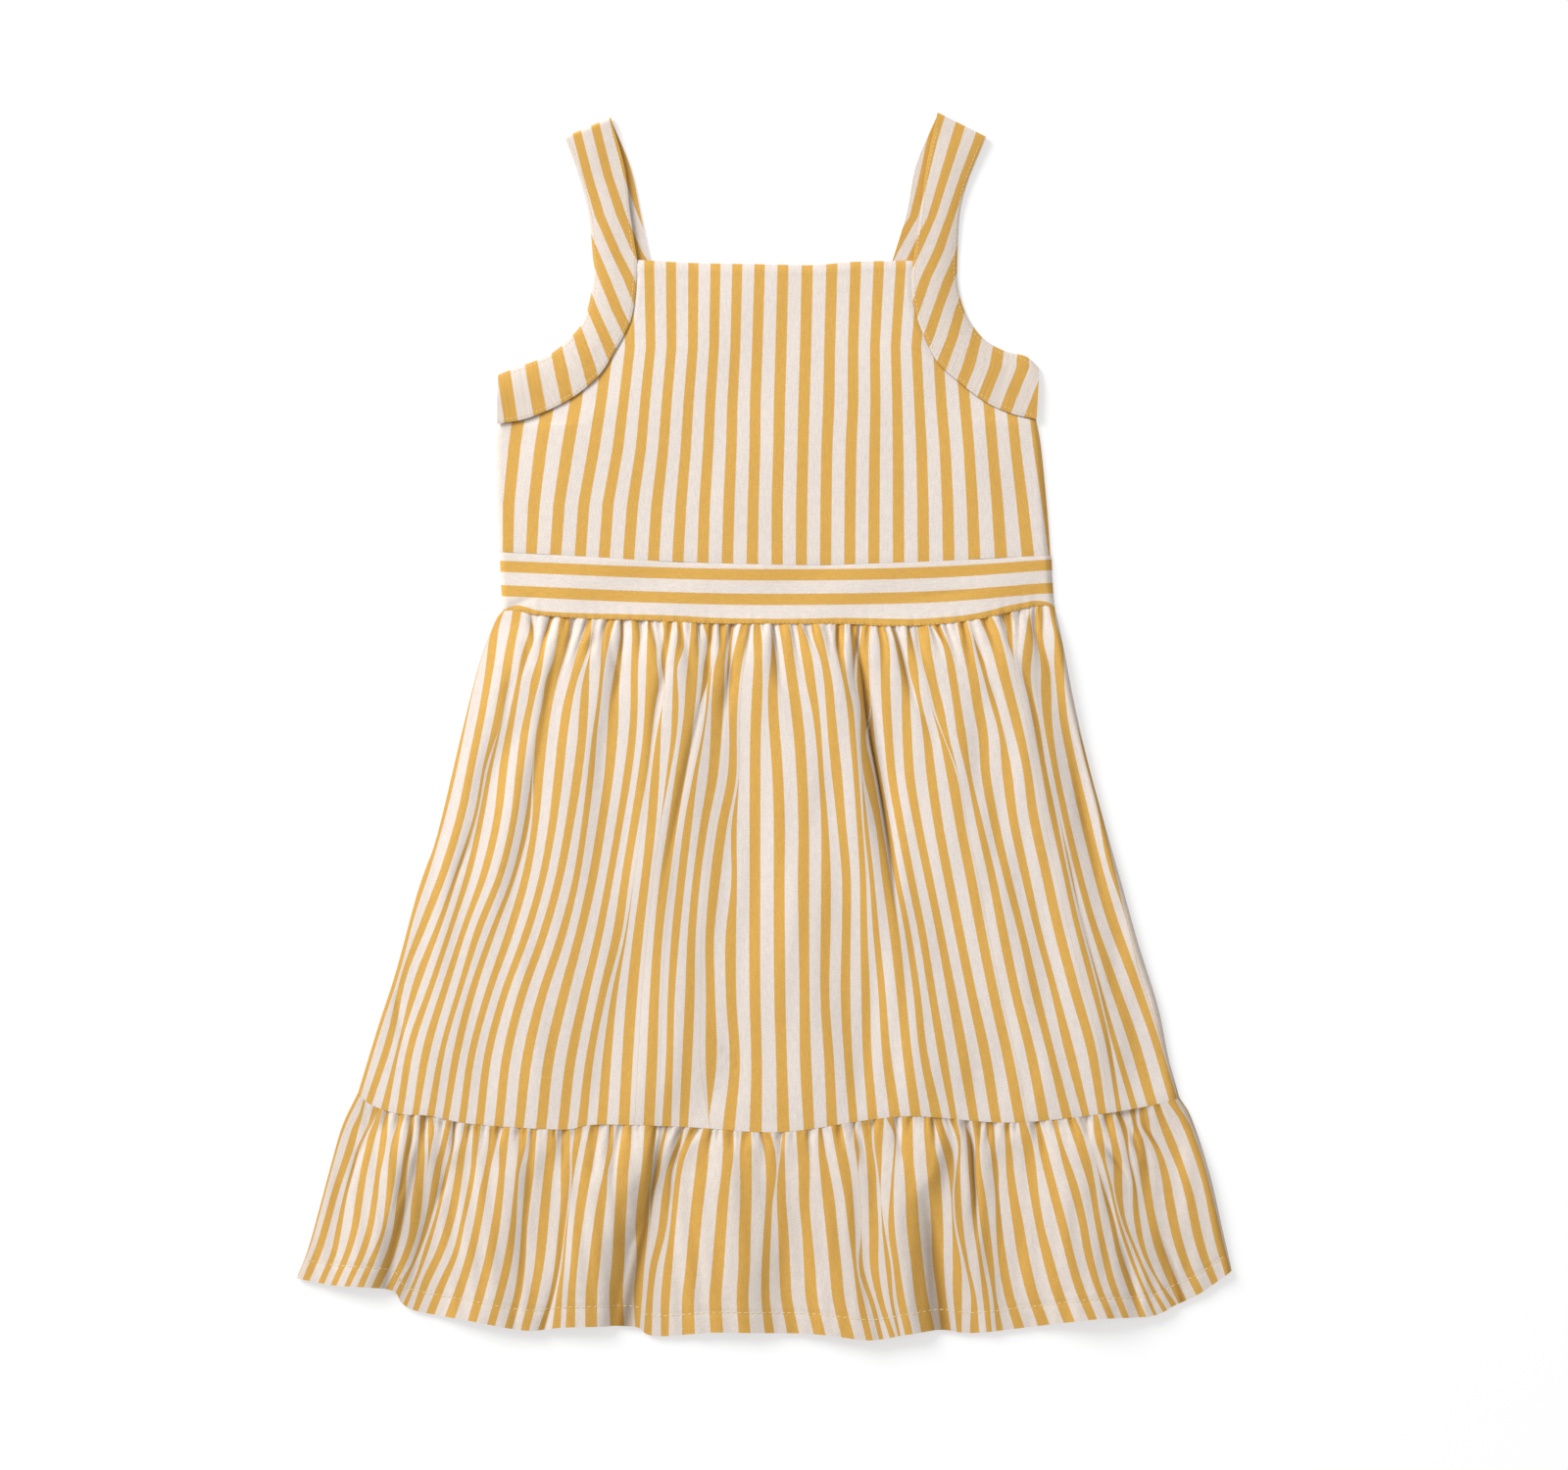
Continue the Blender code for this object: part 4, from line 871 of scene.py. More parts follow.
# Broad folds of the skirt and of the ruffle: how far down the panel each level lies, then for each ridge
# and trough from the left its place across at these levels, and how far it stands up or down in tenths of
# a millimetre
SKIRT_FOLD_LEVELS = (0.02, 0.10, 0.20, 0.30, 0.42, 0.55, 0.68, 0.82, 0.98)
SKIRT_FOLDS = (
    ((-133, -138, -149, -157, -164, -175, -180, -188, -199), (4, 16, 15, 14, 12, 12, 10, 6, 10)),
    ((-118, -122, -128, -144, -152, -158, -160, -160, -165), (0, 3, -10, -14, -10, -9, -9, -4, -9)),
    ((-112, -118, -124, -131, -138, -146, -155, -155, -162), (0, 6, -10, 0, 3, -2, -9, -4, -9)),
    ((-106, -110, -117, -122, -126, -136, -149, -150, -158), (-3, -9, -15, -14, -12, -12, -10, -6, -10)),
    ((-88, -90, -94, -98, -104, -109, -113, -122, -124), (0, 0, 10, 10, 12, 8, 8, 10, 9)),
    ((-74, -77, -82, -86, -77, -80, -72, -85, -89), (-4, -15, -8, -6, -8, -6, -8, -12, -14)),
    ((-52, -55, -48, -49, -57, -63, -50, -56, -61), (3, 9, 12, 18, 20, 12, 3, 9, 20)),
    ((-16, -17, -16, -17, -14, -13, -18, -10, -34), (-4, -14, -21, -21, -21, -12, -10, -9, -14)),
    ((2, 2, 16, 26, 22, 23, 14, 26, 22), (2, 6, 4, 15, 4, 9, 10, 9, 9)),
    ((9, 10, 24, 36, 34, 39, 55, 53, 59), (-2, -6, 8, 10, 12, 3, -6, -12, -14)),
    ((38, 40, 46, 50, 55, 61, 71, 84, 87), (8, 21, 22, 22, 21, 15, 6, 14, 18)),
    ((54, 57, 60, 63, 67, 92, 108, 122, 120), (-4, -14, -22, -22, -18, -15, -15, -9, -14)),
    ((106, 104, 105, 106, 112, 125, 135, 145, 162), (4, 8, 9, 9, 13, 12, 8, 9, 15)),
    ((116, 114, 117, 121, 130, 144, 154, 158, 175), (3, 4, 0, -4, -2, -6, -8, -3, 4)),
    ((131, 132, 141, 143, 153, 161, 168, 177, 184), (4, 14, 15, 22, 21, 16, 14, 9, 6)),
    ((150, 155, 160, 170, 176, 182, 190, 198, 203), (-4, -12, -12, -16, -16, -10, -12, -14, -20)),
)
RUFFLE_FOLD_LEVELS = (0.02, 0.10, 0.25, 0.42, 0.60, 0.78, 0.94)
RUFFLE_FOLDS = (
    ((-199, -194, -197, -200, -205, -212, -217), (10, 18, 26, 22, 27, 28, 26)),
    ((-160, -166, -169, -174, -179, -184, -186), (-10, -20, -32, -33, -38, -34, -36)),
    ((-126, -130, -136, -139, -142, -142, -149), (9, 6, 9, 14, 15, 14, 22)),
    ((-108, -112, -120, -124, -126, -126, -119), (-10, -10, -12, -14, -10, 2, 6)),
    ((-62, -64, -71, -84, -91, -93, -92), (20, 27, 24, 22, 30, 33, 30)),
    ((-36, -43, -47, -50, -65, -69, -72), (-14, -28, -42, -38, -40, -36, -34)),
    ((-14, -16, -20, -16, -10, -11, -9), (6, 10, 12, 14, 18, 18, 14)),
    ((18, 17, 18, 18, 13, 10, 10), (6, -8, -8, -12, -15, -21, -20)),
    ((38, 38, 41, 42, 44, 47, 51), (6, 8, 9, 14, 16, 24, 28)),
    ((62, 61, 58, 55, 54, 57, 62), (-8, -8, -2, 2, 6, 12, 18)),
    ((87, 91, 90, 76, 77, 79, 81), (18, 27, 21, 22, 30, 34, 34)),
    ((104, 104, 101, 98, 97, 100, 104), (-6, -8, -16, -16, -21, -32, -39)),
    ((113, 114, 112, 108, 110, 115, 120), (-8, -12, -16, -10, -8, -12, -16)),
    ((121, 125, 128, 129, 132, 133, 140), (-15, -27, -39, -38, -38, -32, -30)),
    ((165, 174, 176, 171, 172, 172, 175), (18, 32, 34, 33, 36, 32, 39)),
    ((203, 208, 216, 214, 213, 219, 227), (-20, -27, -26, -20, -15, -18, -22)),
)


def smooth_line(points, count, start=0.0, end=1.0):
    """This many points, evenly spaced on a smooth curve through the given ones, or on a share of it."""
    knots = np.array(points, float)
    padded = np.vstack([2 * knots[0] - knots[1], knots, 2 * knots[-1] - knots[-2]])
    dense = []
    for before, here, there, after in zip(padded, padded[1:], padded[2:], padded[3:]):
        for t in np.linspace(0.0, 1.0, 12, endpoint=False):
            square = 2 * before - 5 * here + 4 * there - after
            cube = 3 * here - before - 3 * there + after
            dense.append(0.5 * (2 * here + (there - before) * t + square * t**2 + cube * t**3))
    dense = np.array(dense + [knots[-1]])
    steps = np.linalg.norm(np.diff(dense[:, :2], axis=0), axis=1)
    run = np.concatenate([[0.0], np.cumsum(steps)])
    places = np.linspace(start, end, count) * run[-1]
    return np.column_stack([np.interp(places, run, column) for column in dense.T])


@functools.lru_cache(maxsize=None)
def fine_line(seam):
    """A seam or side edge as a smooth curve of 401 points."""
    return smooth_line(seam, 401)


def height_along(seam, across):
    """How far up a seam lies at these places across."""
    fine = fine_line(seam)
    return np.interp(across, fine[:, 0], fine[:, 1])


def side_at(side, up):
    """How far across a side edge lies at these places up."""
    fine = fine_line(side)
    order = np.argsort(fine[:, 1])
    return np.interp(up, fine[order, 1], fine[order, 0])


def at_shares(points, shares):
    """Points at these shares of the length of a smooth curve."""
    fine = smooth_line(points, 401)
    along = np.linspace(0.0, 1.0, 401)
    return np.column_stack([np.interp(shares, along, column) for column in fine.T])


def moved(line, across, up):
    """A seam moved by so much."""
    return tuple((x + across, y + up) for x, y in line)


def front_height(up):
    """Height of the front's highest cloth over the table at these places up."""
    places, heights = np.array(FRONT_HEIGHT).T
    fine = np.arange(places[0], places[-1], 1.0)
    level = np.interp(fine, places, heights)
    soft = np.convolve(np.pad(level, 3, mode="edge"), np.ones(7) / 7, mode="valid")
    return np.interp(up, fine, soft)


def side_roll(inward, roll=SIDE_ROLL):
    """0 at a side edge, rising to 1 where the cloth has rolled over to the front."""
    out = 1.0 - np.clip(inward / roll, 0.0, 1.0)
    return np.sqrt(1.0 - out**2)


def side_rise(inward, xs, roll=SIDE_ROLL):
    """How much of its full height the cloth has at these distances from a side edge."""
    rolled = np.where(xs > 0.0, RIGHT_ROLL_SHARE, LEFT_ROLL_SHARE)
    return rolled * side_roll(inward, roll) + (1 - rolled) * eased(inward / SIDE_BREADTH)


def painted_edge_shade(inward, rest=0.0):
    """Painted shade along a side edge, which tones down the light on the rolled edge, over its value in the
    rest of the panel.
    """
    return rest + EDGE_SHADE * (1 - eased(inward / EDGE_SHADE_WIDTH))


def drawn(levels, rows):
    """Rows of values given at some levels, as smooth curves at 401 shares from 0 to 1."""
    levels = np.array(levels)
    top = rows[:, :1] - (rows[:, 1:2] - rows[:, :1]) * levels[0] / (levels[1] - levels[0])
    foot = rows[:, -1:] + (rows[:, -1:] - rows[:, -2:-1]) * (1 - levels[-1]) / (levels[-1] - levels[-2])
    levels = np.concatenate([[0.0], levels, [1.0]])
    rows = np.hstack([top, rows, foot])
    slopes = np.gradient(rows, levels, axis=1)
    share = np.linspace(0.0, 1.0, 401)
    cell = np.clip(np.searchsorted(levels, share) - 1, 0, len(levels) - 2)
    wide = levels[cell + 1] - levels[cell]
    t = (share - levels[cell]) / wide
    near, far = rows[:, cell], rows[:, cell + 1]
    leave, arrive = slopes[:, cell] * wide, slopes[:, cell + 1] * wide
    return near + (far - near) * eased(t) + leave * t * (1 - t) ** 2 - arrive * t**2 * (1 - t)


def eased(t):
    """0 up to 0, 1 from 1, and smooth between them."""
    t = np.clip(t, 0.0, 1.0)
    return t**2 * (3 - 2 * t)


def column_at(curves, share):
    """The values of smooth curves at one share."""
    step = min(max(share, 0.0), 1.0) * 400
    low = min(int(step), 399)
    return curves[:, low] * (low + 1 - step) + curves[:, low + 1] * (step - low)


class Lay:
    """Where the edges of a panel's mustard stripes lie across it, at any share of the way down it."""

    def __init__(self, levels, stripes, soften):
        edges = drawn(levels, np.array(stripes, float).reshape(-1, len(levels)) / 10.0)
        spread = np.exp(-0.5 * (np.arange(-3 * soften, 3 * soften + 1) / soften) ** 2)
        spread /= spread.sum()
        tail = 2 * edges[:, -1:] - edges[:, -3 * soften - 1 : -1][:, ::-1]
        lead = 2 * edges[:, :1] - edges[:, 1 : 3 * soften + 1][:, ::-1]
        long = np.hstack([lead, edges, tail])
        edges = np.array([np.convolve(row, spread, mode="valid") for row in long])
        self.edges = np.maximum.accumulate(edges, axis=0)

    def at(self, share):
        return column_at(self.edges, share)

    def follow(self, across, share, shares):
        """Places across, at each of these shares, of a line from a point that runs with the stripes."""
        start = self.at(share) + np.arange(len(self.edges)) * 1e-4
        return np.array([np.interp(across, start, self.at(here)) for here in shares])


class Relief:
    """How far a panel's broad folds lift it or let it down."""

    def __init__(self, levels, folds):
        table = np.array(folds, float)
        self.across = drawn(levels, table[:, 0])
        self.stand = drawn(levels, table[:, 1] / 10.0)

    def at(self, xs, share):
        across = np.concatenate([[xs[0]], column_at(self.across, share), [xs[-1]]])
        across = np.maximum.accumulate(across)
        stand = np.concatenate([[0.0], column_at(self.stand, share), [0.0]])
        cell = np.clip(np.searchsorted(across, xs) - 1, 0, len(across) - 2)
        t = (xs - across[cell]) / np.maximum(across[cell + 1] - across[cell], 0.1)
        return stand[cell] + (stand[cell + 1] - stand[cell]) * eased(t)


def crease(path, head, foot=None):
    """A crease's line, depth and half widths at places up the dress, in rising order.

    It runs on to the seam above it where it starts close by, and over a given foot where it ends close by.
    """
    fine = smooth_line(np.array(path) / 10.0, 40)
    if fine.shape[1] == 4:
        fine = np.column_stack([fine, fine[:, 3]])
    share = np.linspace(0.0, 1.0, 40)
    sewn = float(height_along(head, fine[0, 0])) + 0.1
    if sewn - fine[0, 1] > 9.0:
        fine[:, 2] *= eased(share / 0.4)
    else:
        first = fine[0] * (1.0, 0.0, 0.8, 0.8, 0.8) + (0.0, sewn, 0.0, 0.0, 0.0)
        fine = np.vstack([first, fine])
        share = np.concatenate([[0.0], share])
    if foot is not None and fine[-1, 1] - float(height_along(foot, fine[-1, 0])) < 14.0:
        onward = (fine[-1] - fine[-4]) * (1.0, 1.0, 0.0, 0.0, 0.0)
        fine = np.vstack([fine, fine[-1] + 3 * onward])
    else:
        fine[:, 2] *= eased((1 - share) / 0.6)
    across, up, deep, left, right = fine[np.argsort(fine[:, 1])].T
    return {"up": up, "across": across, "deep": deep, "left": left, "right": right}


def gather(lay, across, up, length, depth, reach, width, wander):
    """A tuck that starts at a seam and opens out along the stripes."""
    drop = np.linspace(0.0, reach, 14)
    ups = up - drop
    line = lay.follow(across, 0.0, drop / length) + wander * (drop / reach) ** 2
    share = drop / reach
    opens = np.clip(0.45 + 0.55 * drop / 3.0, 0.0, 1.0)
    deep = depth * opens * (1 - share) ** 1.3
    wide = width[0] + (width[1] - width[0]) * share
    wide = wide[::-1]
    return {"up": ups[::-1], "across": line[::-1], "deep": deep[::-1], "left": wide, "right": wide}


def carve(xs, ys, creases):
    """How far each crease lets the cloth down along one row, and how much painted shade its floor gets
    there.
    """
    low = np.zeros_like(xs)
    painted_shade = np.zeros_like(xs)
    for line in creases:
        ups = line["up"]
        if ys.min() > ups[-1] or ys.max() < ups[0]:
            continue
        middle = np.interp(np.interp(line["across"].mean(), xs, ys), ups, line["across"])
        here = np.interp(middle, xs, ys)
        middle = np.interp(here, ups, line["across"])
        deep = np.interp(here, ups, line["deep"], left=0.0, right=0.0)
        if deep <= 0.02:
            continue
        left = np.interp(here, ups, line["left"])
        right = np.interp(here, ups, line["right"])
        off = xs - middle
        near = (off > -CREASE_REACH * left) & (off < CREASE_REACH * right)
        off = off[near]
        wide = off / np.where(off < 0, left, right)
        low[near] += deep * np.exp(1.0 - np.sqrt(1.0 + CREASE_SHARPNESS * wide**2))
        # Painted shade on the crease's floor, stronger the deeper the crease
        floor = np.exp(-((off / (CREASE_SHADE_SHARE * min(left, right))) ** 2))
        painted_shade[near] = np.maximum(painted_shade[near], min(deep / CREASE_SHADE_DEPTH, CREASE_SHADE_MOST) * floor)
    return low, painted_shade


def unevenness(rng, strength, across_waves, up_waves, count):
    """Soft waves of a cloth that was smoothed by hand, as a function of place."""
    waves = [
        (
            strength * rng.uniform(0.5, 1.0),
            2 * math.pi / rng.uniform(*across_waves),
            2 * math.pi / rng.uniform(*up_waves) * rng.choice([-1, 1]),
            rng.uniform(0, 2 * math.pi),
        )
        for _ in range(count)
    ]

    def at(xs, ys):
        return sum(a * np.sin(fx * xs + fy * ys + p) for a, fx, fy, p in waves) / math.sqrt(count)

    return at


def spread_rows(length, count, top, foot):
    """Shares down a panel, closer together by its seams."""
    share = np.linspace(0.0, 1.0, 400)
    weight = 1.0 + top * np.exp(-share * length / 14.0) + foot * np.exp(-(1 - share) * length / 14.0)
    run = np.concatenate([[0.0], np.cumsum((weight[1:] + weight[:-1]) / 2)])
    return np.interp(np.linspace(0.0, run[-1], count), run, share)


def gathered_sheet(shape, lay, ends, pitch, rows, height):
    """Points, cloth places and painted shade of a panel whose columns keep to the threads of the cloth.

    shape gives the panel's left and right sides, head and foot, ends the stripe counts at its sides,
    pitch the widest step between columns, and height the cloth's height and painted shade along one row.
    Without a lay the stripes are spread evenly.
    """
    left_side, right_side, head, foot = shape
    corners = [side[0] if side[0][1] > side[-1][1] else side[-1] for side in (left_side, right_side)]
    feet = [side[-1] if side[0][1] > side[-1][1] else side[0] for side in (left_side, right_side)]
    least = 0.03
    lines = []
    for share in rows:
        ends_up = [(1 - share) * top[1] + share * low[1] for top, low in zip(corners, feet)]
        left = float(side_at(left_side, ends_up[0]))
        right = float(side_at(right_side, ends_up[1]))
        xs = np.linspace(left, right, 3600)
        part = (xs - left) / (right - left)
        head_x = corners[0][0] + part * (corners[1][0] - corners[0][0])
        foot_x = feet[0][0] + part * (feet[1][0] - feet[0][0])
        ys = (1 - share) * height_along(head, head_x) + share * height_along(foot, foot_x)
        even = np.linspace(left, right, 2 * int(ends[1] - ends[0]) + 2)[1:-1]
        places = lay.at(share) if lay else even
        knots = np.concatenate([[left], places, [right]])
        for i in range(1, len(knots) - 1):
            knots[i] = max(knots[i], knots[i - 1] + least)
        for i in range(len(knots) - 2, 0, -1):
            knots[i] = min(knots[i], knots[i + 1] - least)
        zs, painted_shade = height(xs, ys, share)
        steps = np.sqrt(np.diff(xs) ** 2 + np.diff(zs) ** 2)
        run = np.concatenate([[0.0], np.cumsum(steps)])
        lines.append((xs, ys, zs, painted_shade, run, np.interp(knots, xs, run)))
    widest = np.max([np.diff(line[-1]) for line in lines], axis=0)
    cells = np.maximum(1, np.rint(widest / pitch)).astype(int)
    cell = np.concatenate([np.repeat(np.arange(len(cells)), cells), [len(cells) - 1]])
    within = np.concatenate([np.arange(n) / n for n in cells] + [[1.0]])
    stripes = (len(lines[0][-1]) - 2) // 2
    middles = np.arange(stripes)[:, None] + np.array([-0.5, 0.5]) * MUSTARD_SHARE
    marks = np.concatenate([[ends[0]], middles.ravel(), [ends[1]]])
    counts = marks[cell] * (1 - within) + marks[cell + 1] * within
    points, cloth, painted_shade_grid = [], [], []
    for share, (xs, ys, zs, painted_shade, run, knots) in zip(rows, lines):
        x = np.interp(knots[cell] * (1 - within) + knots[cell + 1] * within, run, xs)
        points.append(np.column_stack([x, np.interp(x, xs, ys), np.interp(x, xs, zs)]))
        cloth.append(np.column_stack([counts, np.full(len(counts), -share)]))
        painted_shade_grid.append(np.interp(x, xs, painted_shade))
    return np.array(points), np.array(cloth), np.array(painted_shade_grid)


def cloth_piece(name, points, cloth, wall, material, node, turned=False, painted_shade_grid=None):
    """A sheet of cloth through a grid of points in millimetres, with places on the cloth as its UV map."""
    rows, columns = points.shape[:2]
    sheet = bmesh.new()
    bmesh.ops.create_grid(sheet, x_segments=columns - 1, y_segments=rows - 1, size=0.5)
    if turned:
        bmesh.ops.reverse_faces(sheet, faces=sheet.faces)
    for edge in sheet.edges:
        edge.smooth = not edge.is_boundary
    mesh = bpy.data.meshes.new(name)
    sheet.to_mesh(mesh)
    sheet.free()
    corners = np.empty(len(mesh.vertices) * 3)
    mesh.vertices.foreach_get("co", corners)
    corners = corners.reshape(-1, 3)
    column = np.rint((corners[:, 0] + 0.5) * (columns - 1)).astype(int)
    row = np.rint((0.5 - corners[:, 1]) * (rows - 1)).astype(int)
    mesh.vertices.foreach_set("co", (points[row, column] * MM).ravel())
    corner_vertex = np.empty(len(mesh.loops), int)
    mesh.loops.foreach_get("vertex_index", corner_vertex)
    layer = mesh.uv_layers.new(name="Cloth")
    layer.data.foreach_set("uv", (cloth[row, column] * MM)[corner_vertex].ravel())
    # Painted shade kept on the points, for the jersey's colour to read
    if painted_shade_grid is not None:
        depth = mesh.attributes.new("PaintedShade", "FLOAT", "POINT")
        depth.data.foreach_set("value", painted_shade_grid[row, column])
    mesh.shade_smooth()
    mesh.materials.append(material)
    piece = bpy.data.objects.new(name, mesh)
    bpy.context.scene.collection.objects.link(piece)
    thickness = piece.modifiers.new("Cloth wall", "SOLIDIFY")
    thickness.thickness = wall * MM
    thickness.offset = -1.0
    thickness.use_even_offset = False
    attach(piece, "root")
    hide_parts(node)
    return piece


def on_cloth(counts, ups):
    """Cloth places in millimetres from stripe counts and lengths."""
    return np.stack([counts * STRIPE_PITCH, ups], axis=-1)


def clear_of_back(height, floor):
    """Keeps a height softly over a floor."""
    return floor + 0.3 * np.logaddexp(0.0, (height - floor) / 0.3)


def sewn_edge(distance, depth=0.35, reach=1.2):
    """How far the cloth turns down by a seam, at these distances from it."""
    return depth * np.exp(-((distance / reach) ** 2))


def gathers_along(table, lay, seam, length, reach, rng):
    """The tucks of a gathered seam, with small ones about 2.6 mm apart between them."""
    tucks = []
    for across, depth in table:
        up = float(height_along(seam, across)) + 0.1
        run = reach * (0.30 + 0.12 * depth) * rng.uniform(0.7, 1.3)
        width = (rng.uniform(0.75, 1.0), rng.uniform(2.0, 3.2))
        tucks.append(gather(lay, across, up, length, 0.62 * depth, run, width, rng.normal(0.0, 0.8)))
    places = [across for across, depth in table]
    for left, right in zip(places, places[1:]):
        for _ in range(max(1, int((right - left) / 2.6))):
            across = rng.uniform(left + 0.8, right - 0.8)
            up = float(height_along(seam, across)) + 0.1
            width = (rng.uniform(0.5, 0.7), rng.uniform(1.1, 1.8))
            run = rng.uniform(5.0, 14.0)
            tucks.append(gather(lay, across, up, length, rng.uniform(0.5, 1.3), run, width, 0.0))
    return tucks


def skirt_front():
    """The gathered front of the skirt."""
    rng = np.random.default_rng(SEED)
    creases = gathers_along(WAIST_GATHERS, skirt_lay, WAIST_SEAM, SKIRT_LENGTH, 40.0, rng)
    creases += [crease(path, WAIST_SEAM) for path in SKIRT_CREASES + SKIRT_DEEP_FOLDS]
    relief = Relief(SKIRT_FOLD_LEVELS, SKIRT_FOLDS)
    broad = unevenness(rng, 0.3, (38.0, 90.0), (160.0, 420.0), 9)
    fine = unevenness(rng, 0.2, (11.0, 24.0), (60.0, 180.0), 9)

    def height(xs, ys, share):
        inward = np.minimum(xs - xs[0], xs[-1] - xs)
        roll = side_roll(inward)
        head = height_along(WAIST_SEAM, xs) - ys
        foot = ys - height_along(TIER_SEAM, xs)
        level = EDGE_TOP + (front_height(ys) - EDGE_TOP) * side_rise(inward, xs)
        loose = (broad(xs, ys) + fine(xs, ys)) * eased(foot / 22.0)
        low, painted_shade = carve(xs, ys, creases)
        level += (relief.at(xs, share) * eased((foot + 8.0) / 34.0) + loose - low) * roll
        level -= sewn_edge(head, 0.35) + sewn_edge(foot, 0.25, 0.9)
        # Painted shade of the creases and along both side edges
        painted_shade = np.maximum(painted_shade, painted_edge_shade(inward))
        return clear_of_back(level, EDGE_TOP - 0.35 + (BACK_CLEAR - EDGE_TOP) * roll), painted_shade

    shape = (SKIRT_SIDE_LEFT, SKIRT_SIDE_RIGHT, moved(WAIST_SEAM, 0.0, -SEAM), moved(TIER_SEAM, 0.0, SEAM))
    rows = spread_rows(SKIRT_LENGTH, 84, 2.4, 0.8)
    ends = (-0.3, len(SKIRT_STRIPES) - 0.6)
    points, cloth, painted_shade_grid = gathered_sheet(shape, skirt_lay, ends, 1.16, rows, height)
    places = on_cloth(cloth[..., 0], cloth[..., 1] * SKIRT_LENGTH)
    return cloth_piece(
        "skirt_front_cloth", points, places, JERSEY, jersey, "skirt_front", painted_shade_grid=painted_shade_grid
    )


def ruffle_front():
    """The front of the ruffle and its points."""
    rng = np.random.default_rng(SEED + 1)
    creases = gathers_along(RUFFLE_GATHERS, ruffle_lay, TIER_SEAM, RUFFLE_LENGTH, 26.0, rng)
    creases += [crease(path, TIER_SEAM, HEM) for path in RUFFLE_CREASES + RUFFLE_DEEP_FOLDS]
    relief = Relief(RUFFLE_FOLD_LEVELS, RUFFLE_FOLDS)
    broad = unevenness(rng, 0.4, (22.0, 50.0), (120.0, 300.0), 9)
    fine = unevenness(rng, 0.25, (9.0, 18.0), (50.0, 120.0), 9)

    def height(xs, ys, share):
        inward = np.minimum(xs - xs[0], xs[-1] - xs)
        roll = side_roll(inward)
        head = height_along(TIER_SEAM, xs) - ys
        hem = ys - height_along(HEM, xs)
        level = EDGE_TOP + (front_height(ys) - EDGE_TOP) * side_rise(inward, xs)
        loose = (broad(xs, ys) + fine(xs, ys)) * eased(head / 22.0)
        low, painted_shade = carve(xs, ys, creases)
        level += (relief.at(xs, share) * eased((head + 8.0) / 34.0) + loose - low) * roll
        level -= sewn_edge(head, 0.1, 0.9) + 0.3 * roll * np.exp(-(((hem - HEM_DEPTH) / 0.9) ** 2))
        # Painted shade of the creases and side edges, and an even painted shade over the whole ruffle
        painted_shade = np.maximum(painted_shade, painted_edge_shade(inward, RUFFLE_SHADE))
        return clear_of_back(level, EDGE_TOP - 0.35 + (BACK_CLEAR - EDGE_TOP) * roll), painted_shade

    shape = (RUFFLE_SIDE_LEFT, RUFFLE_SIDE_RIGHT, moved(TIER_SEAM, 0.0, -SEAM), HEM)
    rows = spread_rows(RUFFLE_LENGTH, 70, 1.6, 0.4)
    ends = (-0.3, len(RUFFLE_STRIPES) - 0.6)
    points, cloth, painted_shade_grid = gathered_sheet(shape, ruffle_lay, ends, 1.16, rows, height)
    places = on_cloth(cloth[..., 0], cloth[..., 1] * RUFFLE_CUT)
    name, node = "ruffle_front_cloth", "ruffle_front"
    return cloth_piece(name, points, places, JERSEY, jersey, node, painted_shade_grid=painted_shade_grid), points


def shown_right(side):
    """A right side edge of the back, where it shows past the front."""
    ups = [-330.0, -240.0, -203.0, -188.0, 60.0, 78.0, 130.0, 160.0, 260.0]
    shows = [0.0, 0.0, 1.2, 0.0, 0.0, 1.0, 1.0, 0.0, 0.0]
    return tuple((x + float(np.interp(y, ups, shows)), y) for x, y in side)


def gathered_back(name, node, shape, stripes, row_count, length, tuck_count, reach):
    """A gathered panel of the back, flat where it rests and softly tucked below its seam."""
    rng = np.random.default_rng(SEED + len(name))
    left, right = [float(side_at(side, float(height_along(shape[2], 0.0)) - 1.0)) for side in shape[:2]]
    places = np.linspace(left, right, tuck_count + 2)[1:-1] + rng.uniform(-2.5, 2.5, tuck_count)
    low, high = [float(side_at(side, float(height_along(shape[3], 0.0)))) for side in shape[:2]]
    ends = [(left * 10, (left + low) * 5, low * 10), (right * 10, (right + high) * 5, high * 10)]
    fan = Lay((0.01, 0.5, 0.99), ends, 1)
    creases = []
    for place in places:
        up = float(height_along(shape[2], place))
        run = reach * rng.uniform(0.5, 1.2)
        depth = rng.uniform(0.8, 1.6)
        creases.append(gather(fan, place, up, length, depth, run, (0.9, 2.6), rng.normal(0.0, 2.0)))
    soft = unevenness(rng, 0.10, (30.0, 70.0), (90.0, 200.0), 6)

    def height(xs, ys, share):
        inside = np.clip(np.minimum(xs - xs[0], xs[-1] - xs) / 10.0, 0.0, 1.0)
        # Painted shade on the floors of the tucks
        low, painted_shade = carve(xs, ys, creases)
        return np.clip(low + np.abs(soft(xs, ys)), 0.0, 1.6) * inside, painted_shade

    rows = spread_rows(length, row_count, 1.2, 0.2)
    points, cloth, painted_shade_grid = gathered_sheet(shape, None, (-0.3, stripes - 0.7), 1.7, rows, height)
    places = on_cloth(cloth[..., 0], cloth[..., 1] * length)
    return cloth_piece(
        name, points, places, JERSEY, jersey, node, turned=True, painted_shade_grid=painted_shade_grid
    )


